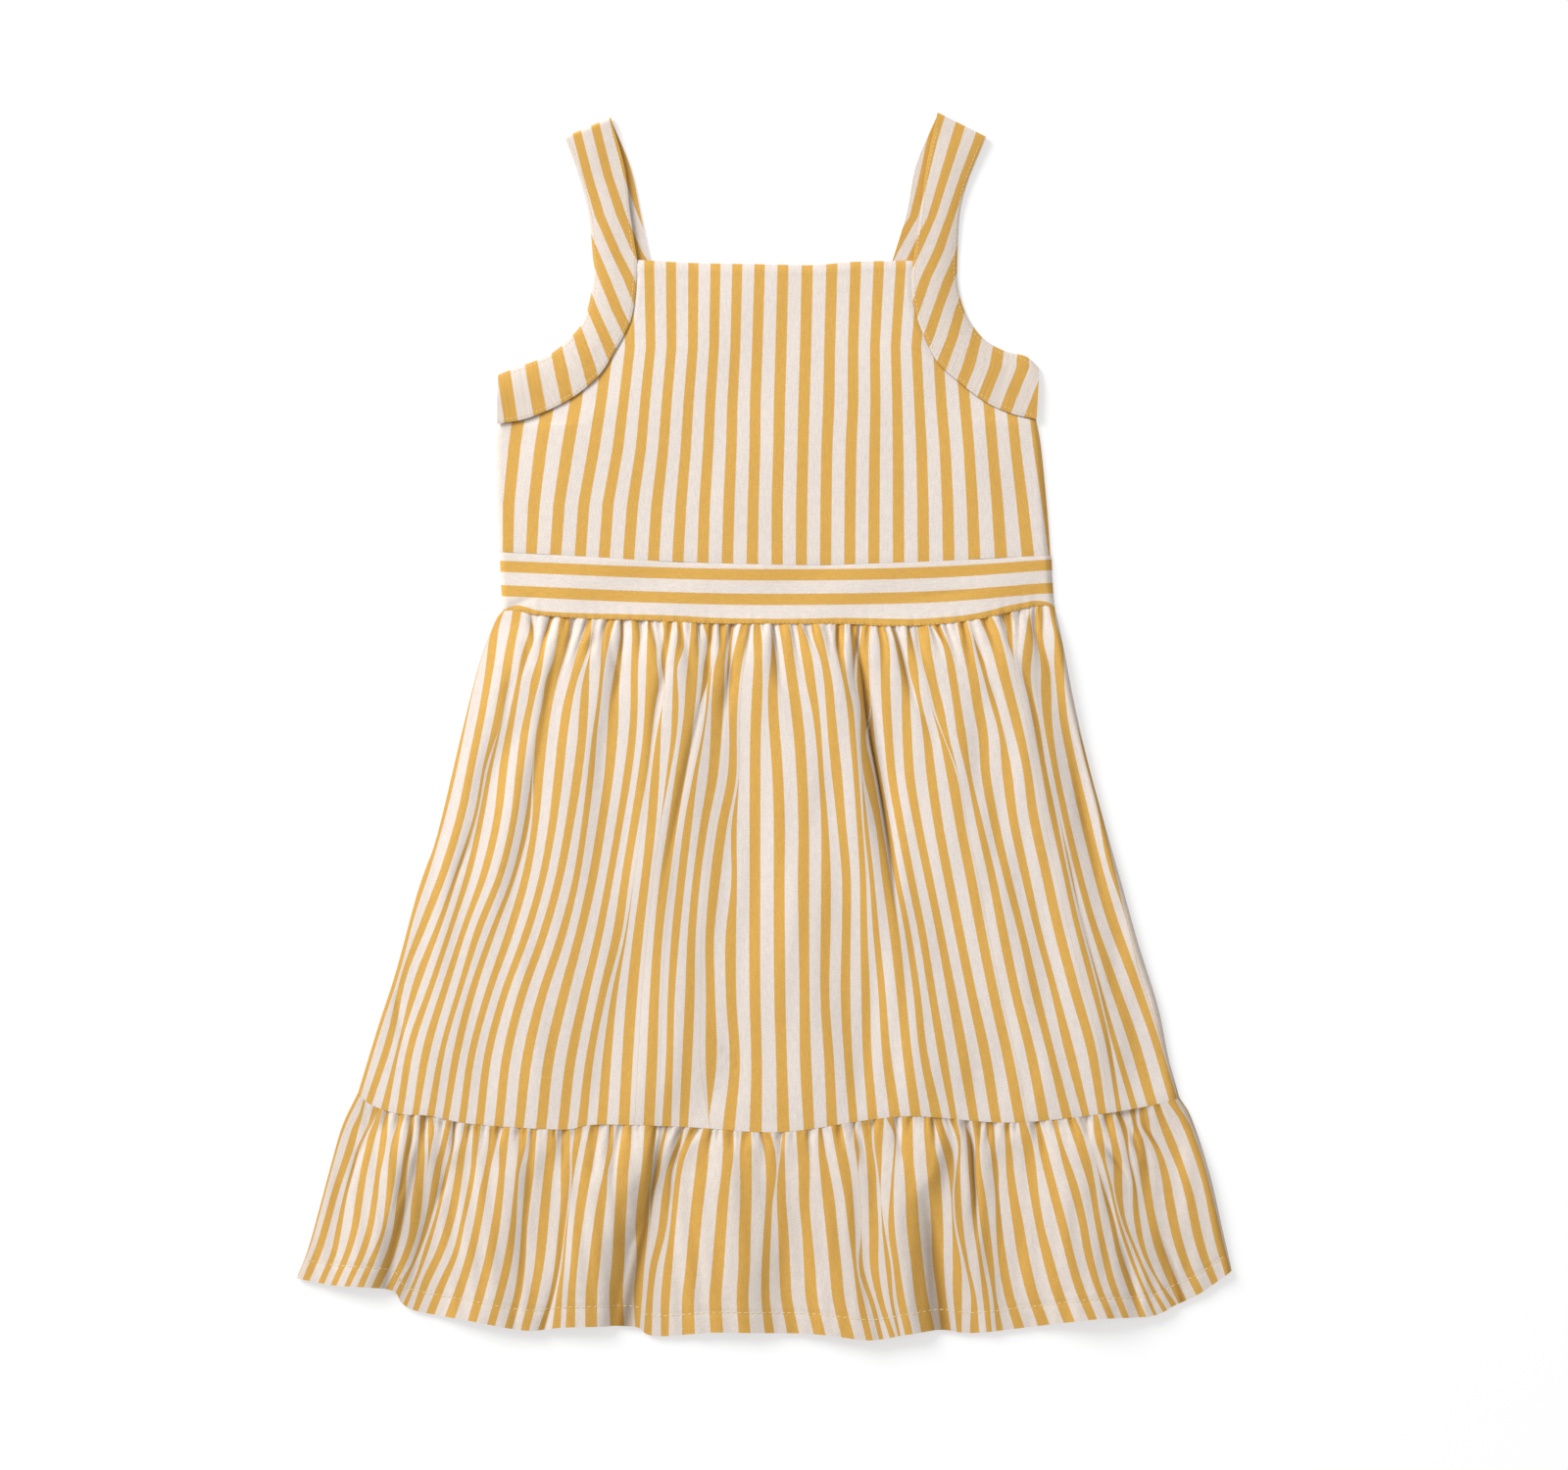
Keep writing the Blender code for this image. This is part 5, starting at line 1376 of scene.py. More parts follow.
def lay_rungs(left, right, foot, head, across):
    """Places of a flat panel's grid, row by row from its head down."""
    places = left[:, None] * (1 - across[..., None]) + right[:, None] * across[..., None]
    down = (left[0, 1] - left[:, 1]) / (left[0, 1] - left[-1, 1])
    head_bend = height_along(head, places[0, :, 0]) - places[0, :, 1]
    foot_bend = height_along(foot, places[-1, :, 0]) - places[-1, :, 1]
    places[..., 1] += (1 - down)[:, None] * head_bend + down[:, None] * foot_bend
    return places


def band_count(xs, ys):
    """Stripe counts up a waistband, whose stripes run across the dress."""
    place, _, pitch = np.array(WAISTBAND_STRIPES).T
    fine = fine_line(WAISTBAND_STRIPES)
    second = np.interp(xs, fine[:, 0], fine[:, 1])
    pitch = np.interp(xs, place, pitch)
    under = second - MUSTARD_SHARE / 2 * pitch
    lowest = height_along(WAISTBAND_LOWEST, xs)
    between = MUSTARD_SHARE / 2 + (ys - lowest) / (under - lowest) * (1 - MUSTARD_SHARE)
    below = MUSTARD_SHARE / 2 + (ys - lowest) / pitch
    return np.where(ys > under, 1.0 + (ys - second) / pitch, np.where(ys > lowest, between, below))


def waistband(name, node, front):
    """A waistband and its points, doubled cloth in front and single behind."""
    shares = np.linspace(1.0, 0.0, 25)
    left = at_shares(WAISTBAND_SIDE_LEFT, shares)
    right = at_shares(WAISTBAND_SIDE_RIGHT if front else shown_right(WAISTBAND_SIDE_RIGHT), shares)
    across = np.tile(np.linspace(0.0, 1.0, 220), (len(shares), 1))
    places = lay_rungs(left, right, moved(WAIST_SEAM, 0.0, SEAM), moved(BODICE_FOOT, 0.0, -SEAM), across)
    xs, ys = places[..., 0], places[..., 1]
    above = ys - height_along(WAIST_SEAM, xs)
    below = height_along(BODICE_FOOT, xs) - ys
    if front:
        rng = np.random.default_rng(SEED + 4)
        soft = unevenness(rng, 0.22, (30.0, 90.0), (30.0, 60.0), 7)
        pucker = unevenness(rng, 0.30, (4.0, 9.0), (200.0, 400.0), 8)
        inward = np.minimum(xs - xs[:, :1], xs[:, -1:] - xs)
        roll = side_roll(inward, PLAIN_ROLL)
        level = EDGE_TOP + (front_height(ys) - EDGE_TOP) * side_rise(inward, xs, PLAIN_ROLL)
        level += soft(xs, ys) * roll + pucker(xs, ys) * np.exp(-above / 4.0) * roll
        for x, y, slope, depth, wide, long in WAISTBAND_PULLS:
            off = (ys - y - slope * (xs - x)) / wide
            level -= depth * roll * np.exp(-(off**2) - ((xs - x) / long) ** 2)
        level -= sewn_edge(above, 0.25) + sewn_edge(below, 0.2, 0.9)
    else:
        level = np.zeros_like(xs) + sewn_edge(above, 0.3) + sewn_edge(below, 0.3)
    points = np.dstack([xs, ys, np.maximum(level, DOUBLED + 0.02) if front else level])
    cloth = on_cloth(band_count(xs, ys), xs)
    wall = DOUBLED if front else JERSEY
    return cloth_piece(name, points, cloth, wall, jersey, node, turned=not front), points


def band_seam(rungs, count):
    """Points along the band's seam to the bodice, from the neckline down to the side seam."""
    edge = [(across, up) for _, _, across, up in rungs[:9]]
    return smooth_line(edge, count)[::-1]


def inward_step(line, by):
    """A step of this length square to a line of points, to its left going down the line if positive."""
    along = np.gradient(line, axis=0)
    along /= np.linalg.norm(along, axis=1)[:, None]
    return np.column_stack([-along[:, 1], along[:, 0]]) * by


def bodice_count(xs, ys):
    """Stripe counts on the bodice."""
    stripes = np.array(BODICE_STRIPES)
    middles = np.array([np.interp(ys.ravel(), BODICE_LEVELS, row) for row in stripes])
    before = 2 * middles[:1] - middles[1:2]
    after = 2 * middles[-1:] - middles[-2:-1]
    middles = np.vstack([before, middles, after])
    cell = np.clip((middles < xs.ravel()).sum(axis=0) - 1, 0, len(middles) - 2)
    point = np.arange(xs.size)
    near, far = middles[cell, point], middles[cell + 1, point]
    return (cell - 1 + (xs.ravel() - near) / (far - near)).reshape(xs.shape)


def bodice(name, node, left_rungs, right_rungs, neckline, front):
    """The front or back of the bodice, between the seams of the armhole bands."""
    seam_rows = 49
    left_seam = band_seam(left_rungs, seam_rows)
    right_seam = band_seam(right_rungs, seam_rows)
    left_seam = left_seam + inward_step(left_seam, SEAM)
    right_seam = right_seam + inward_step(right_seam, -SEAM)
    drops = np.linspace(0.0, 1.0, 27)[1:]
    left_side = at_shares(BODICE_SIDE_LEFT, 1.0 - drops)
    right_side = at_shares(BODICE_SIDE_RIGHT if front else shown_right(BODICE_SIDE_RIGHT), 1.0 - drops)
    left = np.vstack([left_seam, left_side])
    right = np.vstack([right_seam, right_side])
    edge = 0.5 - 0.5 * np.cos(np.linspace(0.0, math.pi, 121))
    share = 0.35 * edge + 0.65 * np.linspace(0.0, 1.0, 121)
    across = np.tile(share, (len(left), 1))
    places = lay_rungs(left, right, moved(BODICE_FOOT, 0.0, SEAM), neckline, across)
    xs, ys = places[..., 0], places[..., 1]
    widths = right[:, 0] - left[:, 0]
    inward = np.minimum(across, 1 - across) * widths[:, None]
    covered = np.zeros(len(left))
    covered[:seam_rows] = np.linspace(30.0, 0.0, seam_rows)
    below = height_along(neckline, xs) - ys
    above = ys - height_along(BODICE_FOOT, xs)
    if front:
        rng = np.random.default_rng(SEED + 5)
        soft = unevenness(rng, 0.34, (50.0, 120.0), (70.0, 160.0), 9)
        fine = unevenness(rng, 0.07, (12.0, 30.0), (40.0, 90.0), 8)
        roll = side_roll(inward + covered[:, None], PLAIN_ROLL)
        rise = side_rise(inward + covered[:, None], xs, PLAIN_ROLL)
        level = EDGE_TOP + (front_height(ys) - EDGE_TOP) * rise + (soft(xs, ys) + fine(xs, ys)) * roll
        sewn = np.where(np.arange(len(left)) < seam_rows, 1.0, 0.0)[:, None]
        level -= sewn * sewn_edge(inward, 0.4) + sewn_edge(above, 0.3) + sewn_edge(below, 0.9, 0.7)
        level -= 0.25 * np.exp(-(((below - 7.5) / 0.8) ** 2))
        level = np.maximum(level, JERSEY + 0.02)
    else:
        level = sewn_edge(above, 0.4, 1.0) + sewn_edge(below, 0.3, 0.8)
    points = np.dstack([xs, ys, level])
    cloth = on_cloth(bodice_count(xs, ys), ys)
    return cloth_piece(name, points, cloth, JERSEY, jersey, node, turned=not front)


def strap_side(rungs, share, band_rows, strap_rows):
    """Places across a band and strap, row by row from the side seam to the shoulder."""
    table = np.array(rungs)
    edges = []
    for edge in (table[:, :2], table[:, 2:]):
        band = smooth_line(edge[:9], band_rows + 1)
        over = smooth_line(edge[8:], strap_rows + 1)
        edges.append(np.vstack([band, over[1:]])[:, None])
    return edges[0] * (1 - share[:, None]) + edges[1] * share[:, None]


def strap(name, node, front_rungs, back_rungs, stripes, seed):
    """An armhole band with its strap and its points, from one side seam over the shoulder to the other."""
    band_rows, strap_rows, fold_rows = 64, 44, 12
    share = np.concatenate([[0.0, 0.03, 0.07], np.linspace(0.13, 0.87, 18), [0.93, 0.97, 1.0]])
    front = strap_side(front_rungs, share, band_rows, strap_rows)
    back = strap_side(back_rungs, share, band_rows, strap_rows)
    rise = np.clip((np.arange(len(front)) - band_rows) / strap_rows, 0.0, 1.0)[:, None]
    rng = np.random.default_rng(SEED + seed)
    soft = unevenness(rng, 0.3, (40.0, 90.0), (40.0, 80.0), 7)
    shoulder, band_width = 1.6, 26.0
    domed = np.sin(math.pi * share)
    climb = np.sin(math.pi / 2 * np.clip(share / 0.6, 0.0, 1.0)) ** 0.7
    band = (front_height(front[..., 1]) - EDGE_TOP - 0.4) * climb
    crown = shoulder + (0.5 * domed - 0.9 * eased((share - 0.35) / 0.5)) * (1 - rise)
    level = 1.65 + band * (1 - rise) + (crown + 0.9) * rise + soft(front[..., 0], front[..., 1]) * domed
    edge_run = np.minimum(share, 1 - share) * band_width
    level -= sewn_edge(edge_run, 0.35, 0.7) + sewn_edge(edge_run - 1.7, 0.12, 0.5)
    top = level[-1].mean()
    onward = front[-1] - front[-2]
    onward /= np.linalg.norm(onward, axis=1)[:, None]
    draw_in = rise[..., None] ** 4 * onward * (top / 2)
    front -= draw_in
    back -= draw_in
    back[-1] = front[-1]
    fold = []
    radius = top / 2
    for turn in np.linspace(0.0, math.pi, fold_rows + 2)[1:-1]:
        over = level[-1] - radius if turn < math.pi / 2 else np.full(len(share), radius)
        high = radius + over * math.cos(turn)
        fold.append(np.column_stack([front[-1] + onward * radius * math.sin(turn), high]))
    upper = np.concatenate([front, level[..., None]], axis=2)
    under = np.concatenate([back, np.zeros(back.shape[:2])[..., None]], axis=2)
    points = np.concatenate([upper, np.array(fold), under[::-1]])
    table = np.array(stripes)[::-1]
    middle = np.interp(points[..., 1], table[:, 0], table[:, 1])
    pitch = np.interp(points[..., 1], table[:, 0], table[:, 2])
    counts = (points[..., 0] - middle) / pitch
    steps = np.linalg.norm(np.diff(points.mean(axis=1), axis=0), axis=1)
    run = np.concatenate([[0.0], np.cumsum(steps)])
    cloth = on_cloth(counts, np.repeat(run[:, None], len(share), axis=1))
    turned = front_rungs[0][0] < 0
    # An even painted shade over the whole strap, which the window lights more than the bodice
    painted_shade_grid = np.full(points.shape[:2], STRAP_SHADE)
    piece = cloth_piece(
        name, points, cloth, DOUBLED, jersey, node, turned=turned, painted_shade_grid=painted_shade_grid
    )
    return piece, points


def surface_at(points, row, column):
    """Place and outward direction on a sheet's grid at fractional rows and columns."""
    row = np.clip(row, 0.0, points.shape[0] - 1.001)
    column = np.clip(column, 0.0, points.shape[1] - 1.001)
    r, c = row.astype(int), column.astype(int)
    a, b = (row - r)[:, None], (column - c)[:, None]
    near, far = points[r, c], points[r, c + 1]
    under, across = points[r + 1, c], points[r + 1, c + 1]
    place = (near * (1 - b) + far * b) * (1 - a) + (under * (1 - b) + across * b) * a
    return place, np.cross(near - under, far - near)


def stitches(name, runs, length, gap, radius, material):
    """A line of sewing thread, one small rounded stitch after another, along each run of places."""
    one = bmesh.new()
    bmesh.ops.create_uvsphere(one, u_segments=6, v_segments=5, radius=1.0)
    bmesh.ops.rotate(one, verts=one.verts, matrix=Matrix.Rotation(math.pi / 2, 3, "Y"))
    mesh = bpy.data.meshes.new(name)
    one.to_mesh(mesh)
    one.free()
    shape = np.empty(len(mesh.vertices) * 3)
    mesh.vertices.foreach_get("co", shape)
    shape = shape.reshape(-1, 3) * (length / 2, radius, 0.75 * radius)
    placed = []
    for places, outward in runs:
        steps = np.linalg.norm(np.diff(places, axis=0), axis=1)
        run = np.concatenate([[0.0], np.cumsum(steps)])
        starts = (np.arange(int(run[-1] / (length + gap))) + 0.5) * (length + gap)
        middle, before, after = [
            np.column_stack([np.interp(starts + off, run, column) for column in places.T])
            for off in (0.0, -length / 2, length / 2)
        ]
        out = np.column_stack([np.interp(starts, run, column) for column in outward.T])
        out *= np.where(out[:, 2:] < 0, -1.0, 1.0)
        out /= np.linalg.norm(out, axis=1)[:, None]
        along = (after - before) / np.linalg.norm(after - before, axis=1)[:, None]
        side = np.cross(along, out)
        side /= np.linalg.norm(side, axis=1)[:, None]
        over = np.cross(side, along)
        turns = np.stack([along, side, over], axis=1)
        placed.append((middle + 0.35 * radius * out)[:, None] + shape @ turns)
    placed = np.concatenate(placed).reshape(-1, 3) * MM
    thread = bmesh.new()
    for _ in range(len(placed) // len(shape)):
        thread.from_mesh(mesh)
    thread.to_mesh(mesh)
    thread.free()
    mesh.vertices.foreach_set("co", placed.ravel())
    mesh.shade_smooth()
    mesh.materials.append(material)
    piece = bpy.data.objects.new(name, mesh)
    bpy.context.scene.collection.objects.link(piece)
    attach(piece, "root")
    return piece


def hem_run(points):
    """The line of the hem's stitches on the ruffle."""
    columns = np.linspace(3.0, points.shape[1] - 4.0, 900)
    rows = np.empty_like(columns)
    for i, column in enumerate(columns):
        line = points[:, int(column)]
        above = line[:, 1] - height_along(HEM, line[:, 0])
        rows[i] = np.interp(-HEM_DEPTH, -above, np.arange(len(line)))
    return surface_at(points, rows, columns)


def waist_run(points):
    """The line of stitches just above the waist seam, on the waistband."""
    columns = np.linspace(3.0, points.shape[1] - 4.0, 700)
    rows = np.empty_like(columns)
    for i, column in enumerate(columns):
        line = points[:, int(column)]
        rows[i] = np.interp(-0.7, line[-1, 1] - line[:, 1], np.arange(len(line)))
    return surface_at(points, rows, columns)


def band_runs(points):
    """The two lines of stitches along an armhole band and its strap, as far as the shoulder."""
    rows = np.linspace(1.0, 106.0, 700)
    columns = (1.9, points.shape[1] - 2.9)
    return [surface_at(points, rows, np.full(len(rows), column)) for column in columns]


def jersey_group():
    """Knitted jersey: stripes on the cloth's own places, small loops, fibre and soft unevenness of the dye.

    The colour carries painted shade: it is darker and warmer where a piece's shade attribute is higher.
    """
    group = bpy.data.node_groups.new("Knitted stripes", "ShaderNodeTree")
    face = group.interface
    face.new_socket("Place", in_out="INPUT", socket_type="NodeSocketVector")
    face.new_socket("Ground", in_out="INPUT", socket_type="NodeSocketColor")
    face.new_socket("Stripe", in_out="INPUT", socket_type="NodeSocketColor")
    face.new_socket("Stripes per metre", in_out="INPUT", socket_type="NodeSocketFloat")
    face.new_socket("Stripe share", in_out="INPUT", socket_type="NodeSocketFloat")
    face.new_socket("Loop depth", in_out="INPUT", socket_type="NodeSocketFloat")
    face.new_socket("PaintedShade", in_out="INPUT", socket_type="NodeSocketFloat")
    face.new_socket("Colour", in_out="OUTPUT", socket_type="NodeSocketColor")
    face.new_socket("Roughness", in_out="OUTPUT", socket_type="NodeSocketFloat")
    face.new_socket("Normal", in_out="OUTPUT", socket_type="NodeSocketVector")
    nodes, links = group.nodes, group.links
    given, made = nodes.new("NodeGroupInput"), nodes.new("NodeGroupOutput")

    def maths(operation, first, second=None, third=None):
        node = nodes.new("ShaderNodeMath")
        node.operation = operation
        for socket, value in zip(node.inputs, (first, second, third)):
            if value is None:
                continue
            if isinstance(value, (int, float)):
                socket.default_value = value
            else:
                links.new(value, socket)
        return node.outputs[0]

    def noise(scale, detail, vector):
        node = nodes.new("ShaderNodeTexNoise")
        node.inputs["Scale"].default_value = scale
        node.inputs["Detail"].default_value = detail
        links.new(vector, node.inputs["Vector"])
        return node.outputs["Fac"]

    def mixed(factor, first, second, blend="MIX"):
        node = nodes.new("ShaderNodeMix")
        node.data_type = "RGBA"
        node.blend_type = blend
        for name, value in (("Factor", factor), ("A", first), ("B", second)):
            if isinstance(value, (float, tuple)):
                node.inputs[name].default_value = value
            else:
                links.new(value, node.inputs[name])
        return node.outputs["Result"]

    split = nodes.new("ShaderNodeSeparateXYZ")
    links.new(given.outputs["Place"], split.inputs[0])
    place, u, v = given.outputs["Place"], split.outputs["X"], split.outputs["Y"]
    edge_noise = noise(1600.0, 1.0, place)
    count = maths("MULTIPLY", u, given.outputs["Stripes per metre"])
    count = maths("ADD", count, maths("MULTIPLY", maths("SUBTRACT", edge_noise, 0.5), 0.045))
    off = maths("ABSOLUTE", maths("SUBTRACT", maths("FRACT", maths("ADD", count, 0.5)), 0.5))
    inside = maths("SUBTRACT", maths("MULTIPLY", given.outputs["Stripe share"], 0.5), off)
    dyed = maths("MULTIPLY", maths("ADD", inside, 0.02), 35.0)
    dyed = maths("MINIMUM", maths("MAXIMUM", dyed, 0.0), 1.0)
    colour = mixed(dyed, given.outputs["Ground"], given.outputs["Stripe"])
    fibre = noise(1500.0, 3.0, place)
    cloud = noise(26.0, 2.0, place)
    drawn_out = nodes.new("ShaderNodeVectorMath")
    drawn_out.operation = "MULTIPLY"
    drawn_out.inputs[1].default_value = (1.0, 0.3, 1.0)
    links.new(place, drawn_out.inputs[0])
    heather = noise(700.0, 2.0, drawn_out.outputs[0])
    tone = maths("ADD", maths("MULTIPLY", fibre, 0.50), maths("MULTIPLY", cloud, 0.07))
    tone = maths("ADD", maths("ADD", tone, maths("MULTIPLY", heather, 0.22)), 0.605)
    # Painted shade: the colour darkens where the piece's shade attribute is high
    shade_multiplier = maths("SUBTRACT", 1.0, maths("MULTIPLY", given.outputs["PaintedShade"], FOLD_SHADE))
    tone = maths("MULTIPLY", tone, shade_multiplier)
    shade = nodes.new("ShaderNodeCombineXYZ")
    for socket in shade.inputs:
        links.new(tone, socket)
    colour = mixed(1.0, colour, shade.outputs[0], "MULTIPLY")
    # The painted shade is also warmed, as light bounced between folds of the cloth would warm it
    shade_tint = mixed(given.outputs["PaintedShade"], (1.0, 1.0, 1.0, 1.0), SHADE_WARMTH)
    colour = mixed(1.0, colour, shade_tint, "MULTIPLY")
    wale = maths("ABSOLUTE", maths("SINE", maths("MULTIPLY", u, math.pi / WALE)))
    bend = maths("MULTIPLY", wale, 0.35)
    courses = maths("ADD", maths("MULTIPLY", v, 1 / COURSE), bend)
    course = maths("ABSOLUTE", maths("SINE", maths("MULTIPLY", courses, math.pi)))
    loops = maths("ADD", maths("MULTIPLY", wale, 0.6), maths("MULTIPLY", course, 0.4))
    raised = maths("ADD", loops, maths("MULTIPLY", fibre, 0.9))
    bump = nodes.new("ShaderNodeBump")
    bump.inputs["Distance"].default_value = LOOP_HEIGHT
    links.new(raised, bump.inputs["Height"])
    links.new(given.outputs["Loop depth"], bump.inputs["Strength"])
    rough = maths("ADD", maths("MULTIPLY", fibre, 0.16), 0.78)
    links.new(colour, made.inputs["Colour"])
    links.new(rough, made.inputs["Roughness"])
    links.new(bump.outputs["Normal"], made.inputs["Normal"])
    return group


def jersey_material(name, ground, stripe, group):
    """Jersey on a piece's UV map named Cloth, with painted shade from a point attribute of the piece."""
    material = bpy.data.materials.new(name)
    material.use_nodes = True
    nodes, links = material.node_tree.nodes, material.node_tree.links
    shader = nodes["Principled BSDF"]
    shader.inputs["Sheen Weight"].default_value = 0.12
    shader.inputs["Sheen Roughness"].default_value = 0.5
    shader.inputs["Specular IOR Level"].default_value = 0.22
    cloth = nodes.new("ShaderNodeUVMap")
    cloth.uv_map = "Cloth"
    knit = nodes.new("ShaderNodeGroup")
    knit.node_tree = group
    knit.inputs["Ground"].default_value = ground
    knit.inputs["Stripe"].default_value = stripe
    knit.inputs["Stripes per metre"].default_value = 1000.0 / STRIPE_PITCH
    knit.inputs["Stripe share"].default_value = MUSTARD_SHARE
    knit.inputs["Loop depth"].default_value = 0.5
    # The piece's painted shade, held in a point attribute
    fold = nodes.new("ShaderNodeAttribute")
    fold.attribute_name = "PaintedShade"
    links.new(cloth.outputs["UV"], knit.inputs["Place"])
    links.new(fold.outputs["Fac"], knit.inputs["PaintedShade"])
    links.new(knit.outputs["Colour"], shader.inputs["Base Color"])
    links.new(knit.outputs["Roughness"], shader.inputs["Roughness"])
    links.new(knit.outputs["Normal"], shader.inputs["Normal"])
    return material


def thread_material(name, dark, pale):
    """Twisted sewing thread, between two tones of its dye."""
    material = bpy.data.materials.new(name)
    material.use_nodes = True
    nodes, links = material.node_tree.nodes, material.node_tree.links
    shader = nodes["Principled BSDF"]
    shader.inputs["Sheen Weight"].default_value = 0.2
    place = nodes.new("ShaderNodeTexCoord")
    twist = nodes.new("ShaderNodeTexNoise")
    twist.inputs["Scale"].default_value = 2200.0
    links.new(place.outputs["Object"], twist.inputs["Vector"])
    ramp = nodes.new("ShaderNodeValToRGB")
    ramp.color_ramp.elements[0].color = dark
    ramp.color_ramp.elements[1].color = pale
    links.new(twist.outputs["Fac"], ramp.inputs["Fac"])
    links.new(ramp.outputs["Color"], shader.inputs["Base Color"])
    rough = nodes.new("ShaderNodeMapRange")
    rough.inputs["To Min"].default_value = 0.45
    rough.inputs["To Max"].default_value = 0.7
    links.new(twist.outputs["Fac"], rough.inputs["Value"])
    links.new(rough.outputs["Result"], shader.inputs["Roughness"])
    return material


def studio():
    """A white table, a soft light from the upper left, and the camera straight above."""
    scene = bpy.context.scene
    floor_mesh = bpy.data.meshes.new("Table top")
    top = bmesh.new()
    bmesh.ops.create_grid(top, x_segments=1, y_segments=1, size=14.0)
    top.to_mesh(floor_mesh)
    top.free()
    floor = bpy.data.objects.new("table_top", floor_mesh)
    scene.collection.objects.link(floor)
    paint = bpy.data.materials.new("White table")
    paint.use_nodes = True
    nodes, links = paint.node_tree.nodes, paint.node_tree.links
    place = nodes.new("ShaderNodeTexCoord")
    grain = nodes.new("ShaderNodeTexNoise")
    grain.inputs["Scale"].default_value = 3.0
    ramp = nodes.new("ShaderNodeValToRGB")
    ramp.color_ramp.elements[0].color = (0.50, 0.50, 0.50, 1.0)
    ramp.color_ramp.elements[1].color = (0.52, 0.52, 0.52, 1.0)
    links.new(place.outputs["Object"], grain.inputs["Vector"])
    links.new(grain.outputs["Fac"], ramp.inputs["Fac"])
    links.new(ramp.outputs["Color"], nodes["Principled BSDF"].inputs["Base Color"])
    nodes["Principled BSDF"].inputs["Roughness"].default_value = 0.9
    nodes["Principled BSDF"].inputs["Specular IOR Level"].default_value = 0.0
    nodes["Principled BSDF"].inputs["Emission Color"].default_value = (1.0, 1.0, 1.0, 1.0)
    nodes["Principled BSDF"].inputs["Emission Strength"].default_value = TABLE_GLOW
    floor_mesh.materials.append(paint)
    world = bpy.data.worlds.new("Soft room")
    world.use_nodes = True
    world.node_tree.nodes["Background"].inputs["Color"].default_value = (1.0, 1.0, 1.0, 1.0)
    world.node_tree.nodes["Background"].inputs["Strength"].default_value = ROOM_LIGHT
    scene.world = world
    key = bpy.data.lights.new("Window", "AREA")
    key.shape = "DISK"
    key.size = WINDOW_SIZE
    key.energy = WINDOW_LIGHT
    window = bpy.data.objects.new("Window", key)
    window.location = WINDOW_FROM
    window.rotation_euler = Vector(WINDOW_FROM).to_track_quat("Z", "Y").to_euler()
    scene.collection.objects.link(window)
    scene.view_settings.view_transform = "Standard"
    lens = bpy.data.cameras.new("Camera")
    lens.lens = 100.0
    lens.sensor_width = 36.0
    lens.sensor_fit = "HORIZONTAL"
    camera = bpy.data.objects.new("Camera", lens)
    camera.location = (PHOTO_MIDDLE[0] * MM, PHOTO_MIDDLE[1] * MM, 0.005 + FRAME_WIDTH * MM / 0.36)
    scene.collection.objects.link(camera)
    scene.camera = camera


studio()
knitted = jersey_group()
jersey = jersey_material("Striped jersey", OFF_WHITE, MUSTARD, knitted)
pale_thread = thread_material("Pale thread", (0.66, 0.50, 0.22, 1.0), (0.92, 0.78, 0.50, 1.0))
mustard_thread = thread_material("Mustard thread", (0.32, 0.13, 0.03, 1.0), (0.55, 0.28, 0.07, 1.0))

skirt_lay = Lay(SKIRT_LEVELS, SKIRT_STRIPES, 5)
ruffle_lay = Lay(RUFFLE_LEVELS, RUFFLE_STRIPES, 10)

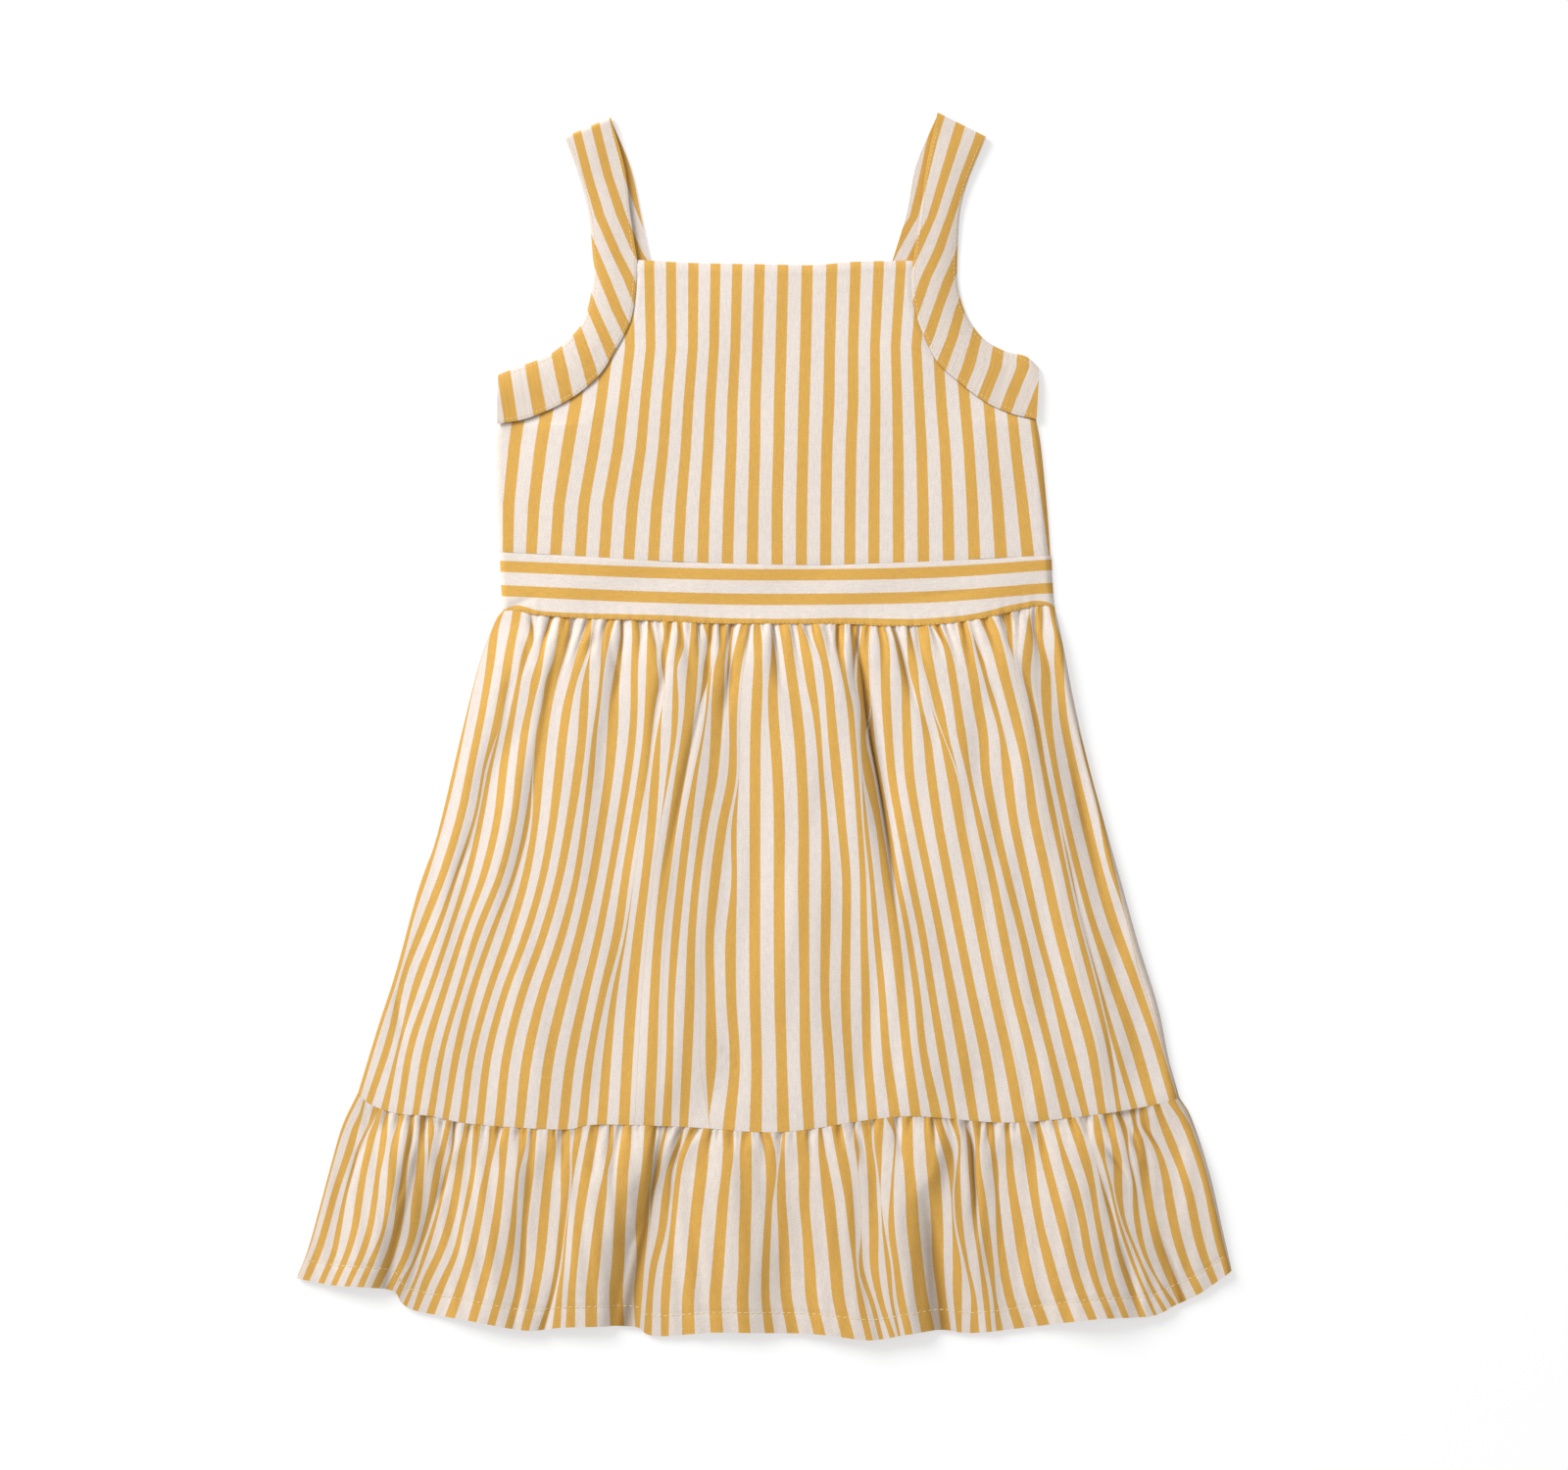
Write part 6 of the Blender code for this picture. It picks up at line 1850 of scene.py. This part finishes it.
# Front, straps and back
skirt = skirt_front()
ruffle, ruffle_points = ruffle_front()
band, band_points = waistband("waistband_front_cloth", "waistband_front", True)
front = bodice("bodice_front_cloth", "bodice_front", STRAP_LEFT_FRONT, STRAP_RIGHT_FRONT, NECKLINE, True)
left_strap, left_points = strap(
    "strap_left_cloth", "strap_left", STRAP_LEFT_FRONT, STRAP_LEFT_BACK, LEFT_BAND_STRIPES, 6
)
right_strap, right_points = strap(
    "strap_right_cloth", "strap_right", STRAP_RIGHT_FRONT, STRAP_RIGHT_BACK, RIGHT_BAND_STRIPES, 7
)
low_neckline = moved(NECKLINE, 0.0, -2.2)
back = bodice("bodice_back_cloth", "bodice_back", STRAP_LEFT_BACK, STRAP_RIGHT_BACK, low_neckline, False)
band_back, _ = waistband("waistband_back_cloth", "waistband_back", False)
skirt_sides = (moved(SKIRT_SIDE_LEFT, 0.15, 0.0), shown_right(moved(SKIRT_SIDE_RIGHT, -0.15, 0.0)))
skirt_seams = (moved(WAIST_SEAM, 0.0, -SEAM), moved(TIER_SEAM, 0.0, SEAM))
back_skirt = gathered_back(
    "skirt_back_cloth", "skirt_back", skirt_sides + skirt_seams, 43, 46, SKIRT_LENGTH, 30, 80.0
)
ruffle_sides = (moved(RUFFLE_SIDE_LEFT, 0.15, 0.0), shown_right(moved(RUFFLE_SIDE_RIGHT, -0.15, 0.0)))
ruffle_seams = (moved(TIER_SEAM, 0.0, -SEAM), moved(HEM, 0.0, 1.2))
back_ruffle = gathered_back(
    "ruffle_back_cloth", "ruffle_back", ruffle_sides + ruffle_seams, 55, 34, RUFFLE_LENGTH, 38, 55.0
)

# Sewing: length of a stitch, gap to the next, and half the thread's width
hem_stitches = stitches("hem_stitches", [hem_run(ruffle_points)], 2.4, 1.0, 0.22, pale_thread)
left_stitches = stitches("left_band_stitches", band_runs(left_points), 1.7, 0.7, 0.17, pale_thread)
right_stitches = stitches("right_band_stitches", band_runs(right_points), 1.7, 0.7, 0.17, pale_thread)
waist_stitches = stitches("waist_stitches", [waist_run(band_points)], 1.1, 1.3, 0.14, mustard_thread)
